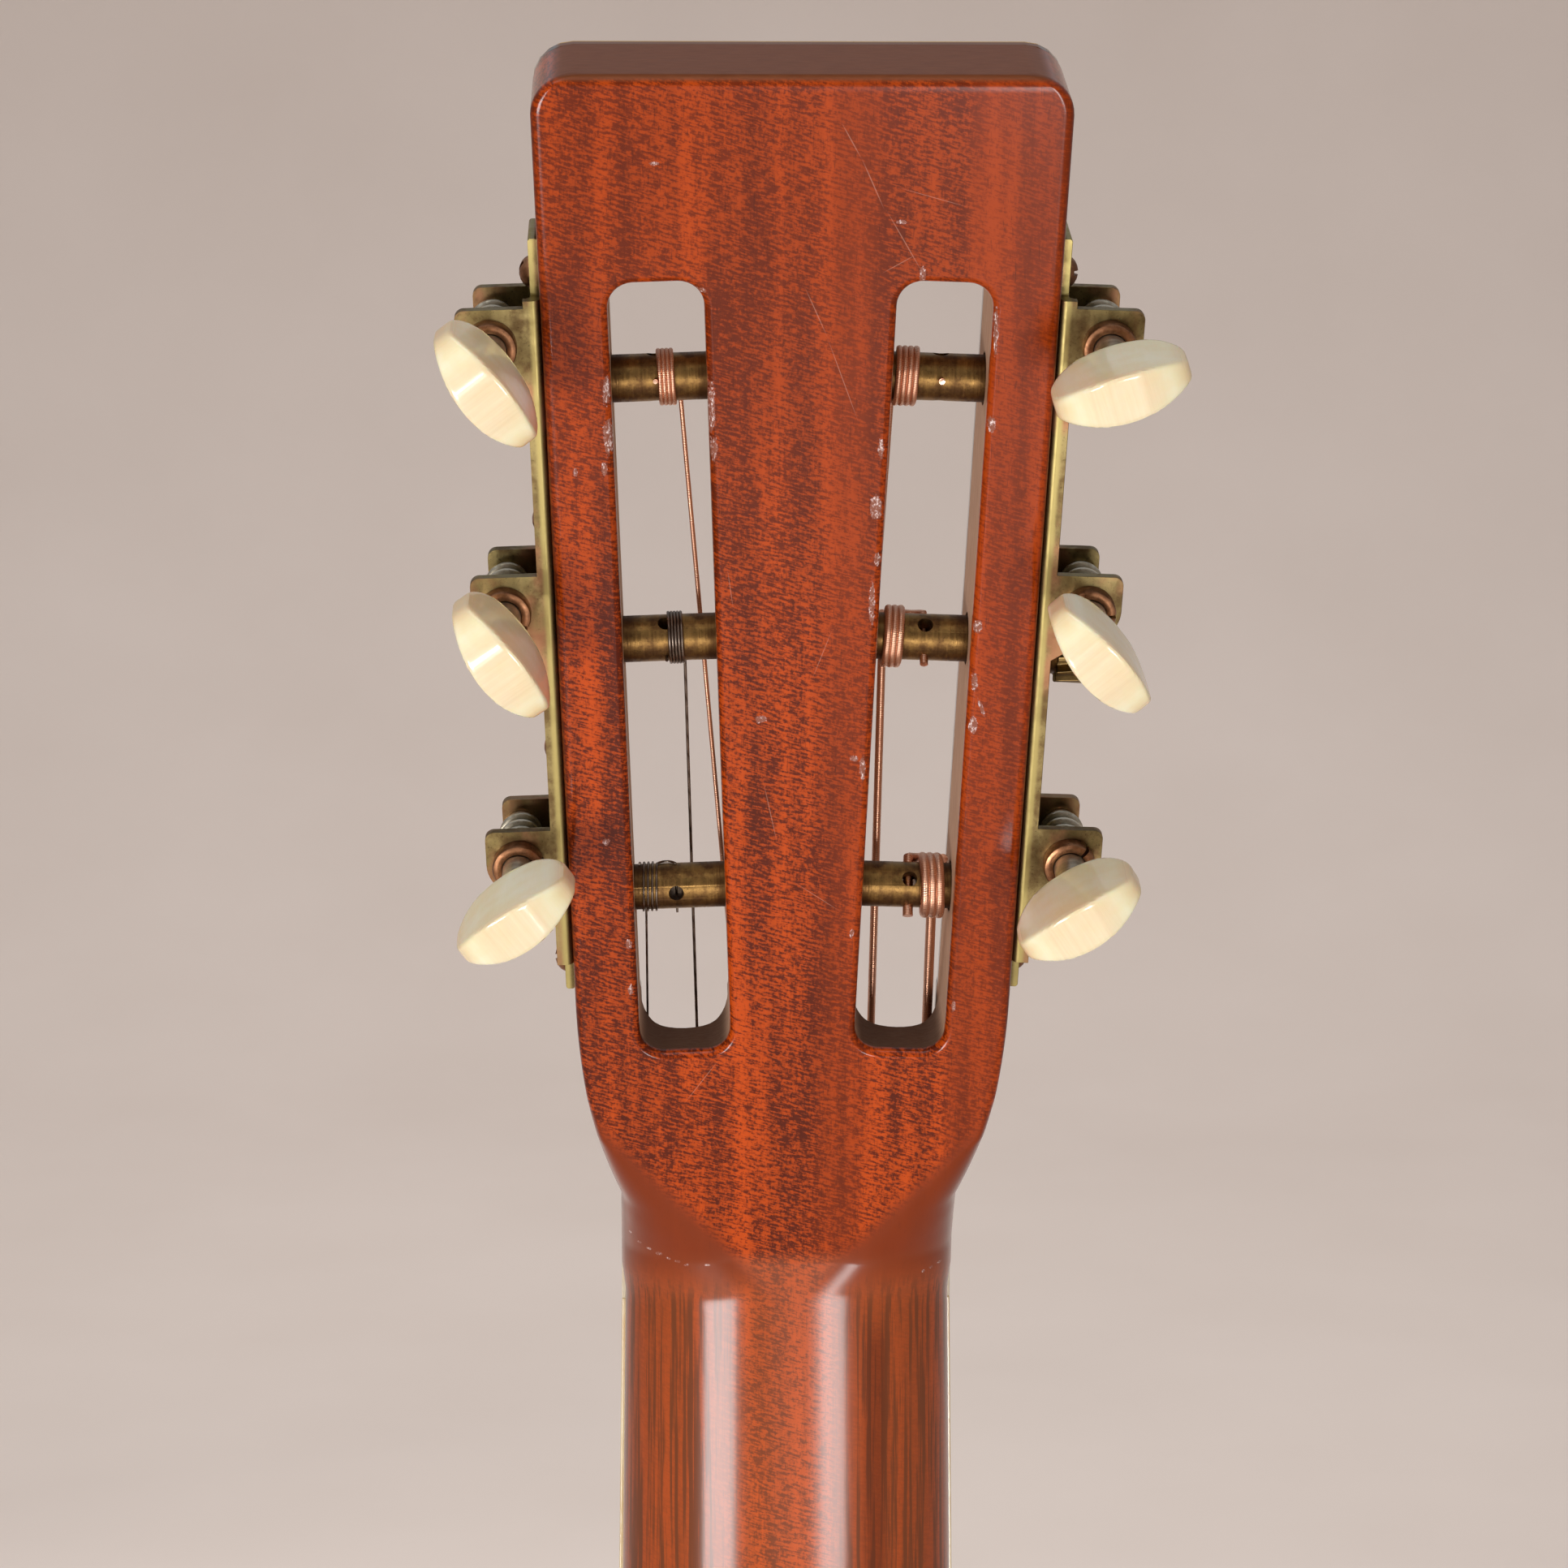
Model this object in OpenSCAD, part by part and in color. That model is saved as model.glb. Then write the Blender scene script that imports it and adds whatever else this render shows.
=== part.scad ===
// Flat-top steel-string guitar with a slotted headstock and twelve frets clear of the body.
// Frame: the origin lies on the back of the neck, in the crease where the headstock starts.
// +Z runs up the neck towards the headstock, +Y points out of the back, +X to the treble side.

/* [Scale and fingerboard] */
// Open string length from nut to saddle
scale_length = 632; // [620:1:645]
// Number of frets on the fingerboard
fret_count = 19; // [16:1:20]
// Width of the neck at the nut
nut_w = 45.6; // [44:0.1:50]
// Width of the neck where it meets the body
joint_w = 54.4; // [52:0.1:58]
// Thickness of the fingerboard
board_t = 6; // [5:0.1:7]
// Width of the binding strip along the fingerboard
board_bind_w = 1.4; // [1:0.1:2]
// Radius of the inlaid position dots
dot_r = 3; // [2:0.1:3.5]
// Height of a fret crown
crown_h = 1.1; // [0.8:0.1:1.3]
// Width of a fret crown
crown_w = 2.2; // [1.6:0.1:2.6]
// Thickness of the nut along the string
nut_t = 5; // [4:0.5:6]
// Height of the nut above the neck wood
nut_h = 8.2; // [7.8:0.1:9]

/* [Neck] */
// Thickness of the neck wood behind the nut
neck_t = 17; // [16:0.5:19]
// Extra thickness of the neck at the heel
neck_swell = 2; // [1:0.5:3]
// Length of the curved heel along the neck
heel_len = 62; // [50:1:75]
// Length of the flat foot of the heel
heel_foot = 14; // [10:1:20]
// Half width of the heel at its foot
heel_half = 10; // [8:0.5:13]
// Thickness of the heel cap
cap_t = 2.4; // [1.5:0.1:3.5]
// Side of the square reinforcing bar
bar_side = 9; // [7:0.5:10]

/* [Headstock] */
// Tilt of the headstock
head_angle = 15; // [12:0.5:17]
// Length of the headstock from the crease to the tip
head_len = 163; // [160:0.5:172]
// Half width of the headstock, carried down to the crease
head_half = 27.2; // [26.6:0.1:29]
// Widening of each headstock edge, in degrees
head_flare = 2.08; // [1.4:0.02:2.6]
// Thickness of the headstock wood
head_t = 15.2; // [14.6:0.1:17]
// Thickness of the front veneer
veneer_t = 2; // [1:0.1:2.5]
// Radius of the two corners at the tip
tip_r = 5; // [3:0.5:8]
// Radius of the long curve from the nut to the straight edge
shoulder_r = 110; // [95:1:125]
// Width of the rail outside each slot
rail_w = 8.3; // [7.5:0.1:9]
// Width of each slot
slot_w = 11.9; // [11.2:0.1:12.2]
// Lower end of the slots
slot_low = 30.8; // [29:0.1:33]
// Upper end of the slots
slot_high = 136.6; // [135:0.1:140]
// Corner radius of the slots
slot_r = 3.2; // [2:0.1:4.5]
// Depth of the upright end wall above the string ramp
ramp_lip = 7; // [5:0.5:9]
// Length of the string ramp
ramp_len = 17; // [15:0.5:19]
// Bevel on the front edges of the centre web
web_ease = 1; // [0.6:0.1:1.4]

/* [Tuning machines] */
// Place of the lowest roller along the headstock edge
roller_first = 51.7; // [50:0.1:54]
// Distance from one roller to the next
roller_pitch = 35.2; // [33.5:0.1:36]
// Depth of the roller axes below the back face
roller_depth = 7.6; // [7.2:0.1:8]
// Radius of a roller
roller_r = 3; // [2.8:0.1:3.2]
// Radial running clearance of the turning parts
running = 0.05; // [0.02:0.01:0.08]
// Thickness of the side plate
plate_t = 1.2; // [1:0.1:1.4]
// Height of the folded edges of the side plate above the wood
fold_h = 2.1; // [1.8:0.1:2.6]
// Clear width between the two ears that hold a worm
ear_gap = 11.2; // [11:0.1:12.4]
// Thickness of an ear
ear_t = 1.3; // [1:0.1:1.6]
// Teeth on each roller gear
gear_teeth = 14; // [14:1:14]
// Outer radius of a roller gear
gear_r = 5.35; // [5.2:0.05:5.45]
// Outer radius of the worm thread
worm_r = 2.8; // [2.7:0.05:2.85]
// Distance between a roller axis and its worm axis
worm_centre = 7; // [6.95:0.05:7.1]
// Distance of the worm axis from the headstock edge
worm_out = 6.4; // [6.2:0.1:6.8]
// Radius of the worm shaft
shaft_r = 2.1; // [1.9:0.05:2.2]
// Radius of the ring bush on each rear ear
bush_r = 3.4; // [3.1:0.1:3.6]
// Height of the bush above its ear
bush_h = 1.9; // [1:0.1:2.4]
// Length of a button across its oval
button_w = 17; // [15:0.5:19]
// Height of a button along its shaft
button_h = 12.5; // [10:0.5:14]
// Thickness of a button at its middle
button_t = 7.4; // [6.4:0.1:8.4]
// Distance from the back face to the middle of a button
button_out = 13.9; // [13:0.1:17]

/* [Body] */
// Length of the body
body_len = 498; // [485:1:510]
// Width across the lower bout
lower_w = 363; // [350:1:375]
// Width across the waist
waist_w = 222; // [210:1:235]
// Width across the upper bout
upper_w = 252; // [245:1:262]
// Depth of the body at the neck
depth_neck = 84; // [78:1:92]
// Depth of the body at the tail
depth_tail = 103; // [98:1:110]
// Thickness of the soundboard
top_t = 2.8; // [2.4:0.1:3.2]
// Thickness of the back
back_t = 2.5; // [2.2:0.1:3]
// Thickness of the sides
side_t = 2.3; // [2:0.1:2.8]
// Thickness of the body binding
bind_t = 1.6; // [1.2:0.1:1.8]
// Height of the body binding
bind_h = 6; // [5:0.5:7]
// Radius of the soundhole
hole_r = 48; // [45:0.5:50]
// Width of the linings
lining_w = 6; // [5:0.5:8]
// Height of the linings
lining_h = 13; // [11:0.5:15]
// Height of the soundboard braces
brace_h = 13; // [11:0.5:15]
// Width of the soundboard braces
brace_w = 7; // [6:0.5:9]
// Height of the back braces
back_brace_h = 14; // [11:0.5:17]

/* [Bridge and strings] */
// Length of the bridge across the soundboard
bridge_w = 152; // [146:1:158]
// Width of the bridge along the strings
bridge_l = 25; // [24:0.5:28]
// Height of the bridge
bridge_h = 8.5; // [8:0.1:9]
// Length of the saddle
saddle_w = 74; // [70:1:78]
// Thickness of the saddle
saddle_t = 2.6; // [2.2:0.1:3.2]
// Height of the saddle above the bridge
saddle_up = 3.4; // [3.2:0.1:4]
// Distance of the bridge pins behind the saddle
pin_back = 11; // [10:0.5:12]
// Spread of the outer strings at the nut
nut_spread = 37.6; // [36.6:0.2:38]
// Spread of the outer strings at the saddle
saddle_spread = 56; // [54:0.5:58]

/* [Hidden] */
$fn = 48;
eps = 0.01;
STRINGS = [1:6];

// Colours
mahogany = [0.55, 0.22, 0.09];
rosewood = [0.24, 0.12, 0.08];
ebony = [0.09, 0.07, 0.06];
spruce = [0.86, 0.68, 0.42];
bone = [0.92, 0.87, 0.74];
cream = [0.95, 0.90, 0.72];
old_brass = [0.52, 0.42, 0.22];
copper = [0.62, 0.38, 0.24];
steel = [0.70, 0.70, 0.70];
bronze = [0.72, 0.50, 0.30];

// Strings, from the thin treble string 1 to the thick bass string 6
string_r = [0.15, 0.2, 0.3, 0.4, 0.53, 0.67];
function is_treble(n) = n <= 3;
function row_of(n) = is_treble(n) ? n - 1 : 6 - n;
function hand(n) = is_treble(n) ? 1 : -1;

// Places along the neck
joint_half = joint_w / 2;
nut_half = nut_w / 2;
board_y = -neck_t;                       // front of the neck wood
face_y = board_y - board_t;              // playing face of the fingerboard
break_z = -(neck_t * cos(head_angle) - head_t) / sin(head_angle);
nut_z = break_z - nut_t - 0.3;           // fingerboard side of the nut
function fret_z(n) = nut_z - scale_length * (1 - pow(2, -n / 12));
body_z = fret_z(12);                     // top edge of the body
saddle_z = nut_z - scale_length - 2;
function neck_half(z) = nut_half + (joint_half - nut_half) * (nut_z - z) / (nut_z - body_z);
board_end = fret_z(fret_count) - 5;
hole_z = fret_z(19) - 7 - hole_r;
tail_z = body_z - body_len;
back_tilt = asin((depth_tail - depth_neck) / body_len);
inner_y = board_y + top_t;               // underside of the soundboard

// Headstock: s runs up from the crease, h out of its back face
flare = tan(head_flare);
veneer_h = -head_t - veneer_t;
straight_s = 38;
joint_s = 24;                            // where the carved neck becomes the flat headstock
arc_s = straight_s + shoulder_r * sin(head_flare);
arc_w = head_half + straight_s * flare - shoulder_r * cos(head_flare);
function edge_half(s) = s > straight_s ? head_half + s * flare :
    max(nut_half, arc_w + sqrt(pow(shoulder_r, 2) - pow(s - arc_s, 2)));
function to_row(w, h, s) = [w, h * cos(head_angle) + s * sin(head_angle),
                            s * cos(head_angle) - h * sin(head_angle)];
function head_s(z, y) = z * cos(head_angle) + y * sin(head_angle);
function head_h(z, y) = y * cos(head_angle) - z * sin(head_angle);
// A point beside string n's roller: out from the headstock edge, h, and up along the edge
function beside(n, out, h, up) = to_row(
    hand(n) * (head_half + out * cos(head_flare) + up * sin(head_flare)), h,
    up * cos(head_flare) - out * sin(head_flare));
function roller_up(n) = roller_first + row_of(n) * roller_pitch;

module head_frame() { rotate([-head_angle, 0, 0]) children(); }
module edge_frame(side) {
    head_frame() mirror([side > 0 ? 0 : 1, 0, 0])
        translate([head_half, 0, 0]) rotate([0, head_flare, 0]) children();
}
module at_roller(n) {
    edge_frame(hand(n)) translate([0, -roller_depth, roller_up(n)]) children();
}
// Flat shape in (x, z), from y = back to y = front
module slab_xz(front, back) {
    translate([0, back, 0]) rotate([90, 0, 0]) linear_extrude(back - front) children();
}
module rounded_box_2d(x0, y0, x1, y1, r) {
    translate([x0 + r, y0]) square([x1 - x0 - 2 * r, y1 - y0]);
    translate([x0, y0 + r]) square([x1 - x0, y1 - y0 - 2 * r]);
    for (x = [x0 + r, x1 - r], y = [y0 + r, y1 - r]) translate([x, y]) circle(r);
}

// --- Neck ---------------------------------------------------------------------------------
shoulder_steps = 7;
// Half section of the neck: w half width, d depth, c height of the rounded shoulder,
// f half width of the flat back, k narrowing towards the back
function half_section(w, d, c, f, k) = concat([[w, 0]],
    [for (i = [0:shoulder_steps]) let (a = 90 * i / shoulder_steps,
        x = f + (w - f) * pow(cos(a), 0.88), y = d - c + c * pow(sin(a), 0.88))
        [x * (1 - k * y / d), y]]);
function section(w, d, c, f, k) = let (h = half_section(w, d, c, f, k))
    concat(h, [for (i = [len(h) - 1:-1:0]) [-h[i][0], h[i][1]]]);
// Stations of the headstock from the tip down, and its half width at each
tip_steps = 5;
tip_stations = [for (i = [0:tip_steps]) head_len - tip_r * (1 - cos(90 * i / tip_steps))];
head_stations = concat(tip_stations, [straight_s, 31, joint_s, 18.5, 14, 10, 6.5, 3.5]);
function outline_half(s) = let (into = max(0, s - head_len + tip_r))
    edge_half(min(s, head_len - tip_r)) - tip_r + sqrt(tip_r * tip_r - into * into);
function flat_half(s) = min(outline_half(s) - 1.4, 7.7 + 0.93 * s);
function blend_c(s) = 1.2 + (head_t - 3) * (1 - pow(min(1, s / joint_s), 0.75));
function head_ring(s) = [for (p = section(outline_half(s), head_t, blend_c(s), flat_half(s), 0))
    to_row(p[0], p[1] - head_t, s)];
shaft_stations = [0, -2.5, -5, -10, -20, -45, -90, -140, -190, body_z + heel_len + 12];
function front_y(z) = max(board_y, board_y + (z - break_z) * tan(head_angle));
function back_y(z) = neck_swell * z / (body_z + heel_len);
function shaft_ring(z) = let (d = back_y(z) - front_y(z))
    [for (p = section(z > break_z ? nut_half : neck_half(z), d, d * 0.94, max(2, 7.7 + z), 0))
        [p[0], front_y(z) + p[1], z]];
heel_steps = 9;
heel_stations = concat(
    [for (i = [0:heel_steps]) let (a = 90 * i / heel_steps)
        body_z + heel_foot + (heel_len - heel_foot) * (1 - sin(a))],
    [body_z]);
function heel_run(z) = min(1, max(0, (body_z + heel_len - z) / (heel_len - heel_foot)));
function heel_ring(z) = let (u = heel_run(z), g = 1 - sqrt(max(0, 1 - u * u)),
    d0 = neck_t + neck_swell, d = d0 + (depth_neck - cap_t - d0) * g,
    k = (1 - heel_half / joint_half) * g, f = 2 + (joint_half * 0.8 - 2) * pow(g, 2))
    [for (p = section(neck_half(z), d, d * (0.94 - 0.74 * pow(g, 0.5)), f, k))
        [p[0], board_y + p[1], z]];
neck_rings = concat([for (s = head_stations) head_ring(s)],
    [for (z = shaft_stations) shaft_ring(z)], [for (z = heel_stations) heel_ring(z)]);

module loft(rings) {
    m = len(rings[0]);
    n = len(rings);
    polyhedron(
        points = [for (r = rings) each r],
        faces = concat(
            [[for (j = [0:m - 1]) m - 1 - j]],
            [for (i = [0:n - 2], j = [0:m - 1]) let (a = i * m + j, b = i * m + (j + 1) % m)
                each [[a, b, b + m], [a, b + m, a + m]]],
            [[for (j = [0:m - 1]) (n - 1) * m + j]]));
}
// Front view of the headstock from its tip down to a low end
module head_outline(low) {
    run = concat(head_stations, [low]);
    polygon(concat([for (s = run) [outline_half(s), s]],
        [for (i = [len(run) - 1:-1:0]) [-outline_half(run[i]), run[i]]]));
}
module slot_cuts() {
    for (side = [-1, 1]) {
        edge_frame(side) slab_xz(veneer_h - 1, 1)
            rounded_box_2d(-rail_w - slot_w, slot_low, -rail_w, slot_high, slot_r);
        // Ramp that lets the strings dip from the nut into the slot
        edge_frame(side) translate([-rail_w - slot_w, -ramp_lip, slot_low])
            rotate([-atan((head_t + veneer_t - ramp_lip) / ramp_len), 0, 0])
                translate([ramp_step, -25, -1.2 * ramp_len])
                    cube([slot_w - 2 * ramp_step, 25, 1.2 * ramp_len + 0.1]);
        // Eased front edge beside the centre web, where the inner strings dip in
        edge_frame(side) translate([-rail_w - slot_w, veneer_h, slot_low + 1])
            rotate([0, 0, -45]) translate([-web_ease, -5, 0])
                cube([5, 10, slot_high - slot_low - 6]);
    }
}
module roller_holes() {
    for (n = STRINGS) at_roller(n) {
        translate([eps, 0, 0]) rotate([0, -90, 0]) cylinder(r = roller_r + 0.4, h = rail_w + 1);
        translate([-rail_w - slot_w + 1, 0, 0]) rotate([0, -90, 0])
            cylinder(r = roller_r + running, h = web_grip + 1.2);
    }
}
ramp_step = 0.15;                        // the ramp is this much narrower on each side
web_grip = 6.2;
screw_ups = [roller_first - 9.7, roller_first + 20.5, roller_first + roller_pitch + 16.8,
             roller_first + 2 * roller_pitch + 14.3];
pilot_r = 1;
screw_deep = 9;
module neck() {
    color(mahogany) difference() {
        union() {
            loft(neck_rings);
            tenon(0);
        }
        slot_cuts();
        roller_holes();
        for (side = [-1, 1], up = screw_ups)
            edge_frame(side) translate([eps, -roller_depth, up]) rotate([0, -90, 0])
                cylinder(r = pilot_r, h = min(screw_deep, rail_w - 1) + 0.2);
        bar_space(0.05);
    }
}
// Square bar let into the neck under the fingerboard
bar_top = nut_z - 12;
bar_end = body_z + 8;
module bar_space(gap) {
    translate([-bar_side / 2 - gap, board_y - eps, bar_end - gap])
        cube([bar_side + 2 * gap, bar_side + gap + eps, bar_top - bar_end + 2 * gap]);
}
module neck_bar() {
    color(steel) translate([-bar_side / 2, board_y, bar_end])
        cube([bar_side, bar_side, bar_top - bar_end]);
}
// Tapered tenon that ties the heel to the neck block
tenon_half = 9;
tenon_len = 16;
tenon_deep = 62;
module tenon(gap) {
    translate([0, board_y + (gap > 0 ? -eps : 0), body_z + eps]) rotate([-90, 0, 0])
        linear_extrude(tenon_deep + gap + (gap > 0 ? eps : 0))
            polygon([[-tenon_half - gap, 0], [tenon_half + gap, 0],
                     [tenon_half + 3 + gap, tenon_len + gap],
                     [-tenon_half - 3 - gap, tenon_len + gap]]);
}
// The veneer follows the headstock and runs down to the nut
module headplate() {
    color(rosewood) difference() {
        head_frame() slab_xz(veneer_h, -head_t)
            head_outline(head_s(break_z, board_y) + 0.6);
        slot_cuts();
    }
}
module heel_cap() {
    y = board_y + depth_neck - cap_t;
    half = [for (i = [0:6]) let (a = 90 * i / 6)
        [heel_half * cos(a) * 0.96, body_z + heel_foot * (0.25 + 0.72 * sin(a))]];
    color(ebony) translate([0, 2 * y + cap_t, 0]) mirror([0, 1, 0]) slab_xz(y, y + cap_t)
        polygon(concat([[heel_half * 0.96, body_z]], half,
            [for (i = [5:-1:0]) [-half[i][0], half[i][1]]], [[-heel_half * 0.96, body_z]]));
}

// --- Fingerboard --------------------------------------------------------------------------
module board_plan(inset, top, end) {
    polygon([[neck_half(top) - inset, top], [neck_half(end) - inset, end],
             [-neck_half(end) + inset, end], [-neck_half(top) + inset, top]]);
}
fret_slot_w = 0.6;
fret_slot_deep = 2;
dot_frets = [5, 7, 9, 12, 15];
dot_deep = 1.3;
twelfth_spread = 17;                     // between the two dots at the twelfth fret
module fingerboard() {
    color(rosewood) difference() {
        slab_xz(face_y, board_y) board_plan(board_bind_w, nut_z, board_end + board_bind_w);
        for (n = [1:fret_count])
            translate([-40, face_y - 1, fret_z(n) - fret_slot_w / 2])
                cube([80, fret_slot_deep + 1, fret_slot_w]);
        dots(0.02, 0.2);
    }
}
module fingerboard_binding() {
    color(cream) difference() {
        slab_xz(face_y, board_y) board_plan(0, nut_z, board_end);
        slab_xz(face_y - 1, board_y + 1) board_plan(board_bind_w, nut_z + 5, board_end + board_bind_w);
        translate([-40, face_y - 1, nut_z]) cube([80, board_t + 2, 6]);
    }
}
module frets() {
    tang_w = fret_slot_w - 0.06;
    color(steel) for (n = [1:fret_count]) {
        half = neck_half(fret_z(n)) - 0.3;
        r = (pow(crown_w / 2, 2) + pow(crown_h, 2)) / (2 * crown_h);
        translate([0, face_y, fret_z(n)]) {
            rotate([90, 0, 90]) translate([0, 0, -half]) linear_extrude(2 * half)
                intersection() {
                    translate([r - crown_h, 0]) circle(r);
                    translate([-crown_h - 1, -crown_w / 2]) square([crown_h + 1, crown_w]);
                }
            translate([-half + board_bind_w + 0.4, -eps, -tang_w / 2])
                cube([2 * (half - board_bind_w - 0.4), fret_slot_deep - 0.1, tang_w]);
        }
    }
}
module dots(gap, up) {
    for (n = [for (k = dot_frets) if (k <= fret_count) k]) {
        z = (fret_z(n) + fret_z(n - 1)) / 2;
        for (x = n == 12 ? [-twelfth_spread / 2, twelfth_spread / 2] : [0])
            translate([x, face_y - up, z]) rotate([-90, 0, 0])
                cylinder(r = dot_r + gap, h = dot_deep + up);
    }
}
module fret_markers() { color(bone) dots(0, 0); }

// --- Strings ------------------------------------------------------------------------------
function across(n, spread) = spread / 2 - (n - 1) * spread / 5;
string_low = face_y - 1.4;               // underside of the strings at the nut
saddle_top = board_y - bridge_h - saddle_up;
slack = 0.03;                            // gap under a resting string
// Where each winding lies on its roller, counted inwards from the headstock edge
wind_near = [9.1, 14.1, 14.1, 16.7, 16.8, 9.2];
wind_step = [0.75, 0.5, 0.7, 0.95, 1.16, 1.42];
wind_turns = [4, 5, 4, 4, 3, 3];
leave_from = [9.8, 16.1, 16.6, 19.5, 18.9, 10.3];
function wind_at(n, k) = -(wind_near[n - 1] + k * wind_step[n - 1]);
function leave_at(n) = -leave_from[n - 1];
function wind_ring(n) = roller_r + string_r[n - 1] + 0.02;
function nut_in(n) = [across(n, nut_spread), string_low - string_r[n - 1], nut_z];
function nut_out(n) = [across(n, nut_spread), string_low - string_r[n - 1], nut_z + nut_t];
function over_saddle(n) = [across(n, saddle_spread),
    saddle_top - string_r[n - 1] - slack,
    saddle_z + across(n, saddle_spread) * sin(saddle_lean) - saddle_t / 2 - 0.2];
function pin_top(n) = [across(n, saddle_spread), board_y - bridge_h + 1.3, pin_z + pin_r + 0.1];
pin_z = saddle_z - pin_back;
// The string meets its winding on a tangent, in the plane across the roller
function tangent_h(n) = let (c = beside(n, leave_at(n), -roller_depth, roller_up(n)),
    a = nut_out(n), dz = c[2] - a[2], dy = c[1] - a[1], dist = norm([dz, dy]),
    ang = atan2(dy, dz) - asin(wind_ring(n) / dist)) [sin(ang), cos(ang)];
function tangent(n) = let (t = tangent_h(n))
    beside(n, leave_at(n), -roller_depth, roller_up(n))
    + wind_ring(n) * [0, -t[1], t[0]];
function stop_short(n) = 0.35 + sqrt(pow(wind_ring(n) + 2 * string_r[n - 1] + 0.35, 2)
    - pow(wind_ring(n), 2));
function run_end(n) = let (a = web_edge(n), b = tangent(n))
    b + (a - b) / norm(a - b) * stop_short(n);
// String 4 bears on the eased edge of the centre web before it dips to the far roller
function web_edge(n) = n == 4 ?
    to_row(-(head_half - rail_w - slot_w + web_s * flare) - 0.5, veneer_h - 0.45, web_s) :
    nut_out(n);
web_s = 75;                              // where string 4 turns over the web edge

// Round tube along a line of points, with a flat cut at each end
tube_sides = 12;
function unit(v) = v / norm(v);
function tube_ring(path, i, r) = let (
        before = path[max(0, i - 1)], after = path[min(len(path) - 1, i + 1)],
        along = unit(unit(i == 0 ? after - path[i] : path[i] - before)
            + unit(i == len(path) - 1 ? path[i] - before : after - path[i])),
        side = unit(cross(along, [0, 1, 0])), up = cross(side, along))
    [for (k = [0:tube_sides - 1]) let (a = 360 * k / tube_sides)
        path[i] + r * (cos(a) * side + sin(a) * up)];
module tube(path, r) { loft([for (i = [0:len(path) - 1]) tube_ring(path, i, r)]); }
function string_path(n) = concat(
    [pin_top(n), over_saddle(n), nut_in(n), nut_out(n)],
    n == 4 ? [web_edge(n)] : [], [run_end(n)]);
module string_run(n) { tube(string_path(n), string_r[n - 1]); }
module plain_strings() { color(steel) for (n = [1, 2]) string_run(n); }
module wound_strings() { color(bronze) for (n = [3:6]) string_run(n); }
module winding(n) {
    color(n <= 2 ? steel : bronze) at_roller(n)
        for (k = [0:wind_turns[n - 1] - 1])
            translate([wind_at(n, k), 0, 0]) rotate([0, 90, 0])
                rotate_extrude($fn = 32) translate([wind_ring(n), 0])
                    circle(r = string_r[n - 1], $fn = 16);
}
module nut() {
    color(bone) difference() {
        translate([-nut_half, board_y - nut_h, nut_z]) cube([nut_w, nut_h, nut_t]);
        for (n = STRINGS) translate([across(n, nut_spread), 0, nut_z - 1]) {
            r = string_r[n - 1] + slack;
            translate([0, string_low - string_r[n - 1], 0]) cylinder(r = r, h = nut_t + 2);
            translate([-r, string_low - string_r[n - 1] - 5, 0]) cube([2 * r, 5, nut_t + 2]);
        }
    }
}

// --- Tuning machines ----------------------------------------------------------------------
worm_pitch_r = worm_r - 0.6;
gear_pitch_r = worm_centre - worm_pitch_r;
tooth_pitch = 2 * PI * gear_pitch_r / gear_teeth;
lead = atan(tooth_pitch / (2 * PI * worm_pitch_r));
flank = 0.36;                            // slope of the tooth flanks
core_r = worm_centre - gear_r - 0.1;
gear_face = [3.2, 8.7];                  // inner and outer face of a gear, from the wood
boss_r = 4.2;
neck_pin_r = 2.4;
plate_low = 44;
plate_high = roller_first + 2 * roller_pitch + 12.6;
tab_low = roller_first - 12.4;
tab_high = roller_first + 2 * roller_pitch + 19.8;
tab_half = 4.4;
ear_back = -roller_depth + ear_gap / 2;
ear_front = -roller_depth - ear_gap / 2;
fold_r = 0.9;

// Outline of an ear in (out, up), with the worm axis at up = 0
module ear_outline(top, reach, foot) {
    square_r = 1.2;
    translate([fold_h - 1, -foot]) square([worm_out - fold_h + 1, top + foot - square_r]);
    translate([fold_h - 1, 0]) square([worm_out + reach - square_r - fold_h + 1, top]);
    translate([worm_out, 0]) square([reach, top - square_r]);
    translate([worm_out + reach - square_r, top - square_r]) circle(square_r);
    intersection() {
        translate([worm_out, 0]) circle(reach);
        translate([worm_out, -reach]) square([reach, reach + eps]);
    }
}
module ear(h, top, reach, foot, hole) {
    difference() {
        slab_xz(h, h + ear_t) difference() {
            ear_outline(top, reach, reach);
            children();
        }
        translate([worm_out, h - 1, 0]) rotate([-90, 0, 0]) cylinder(r = hole, h = ear_t + 2);
    }
}
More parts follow.
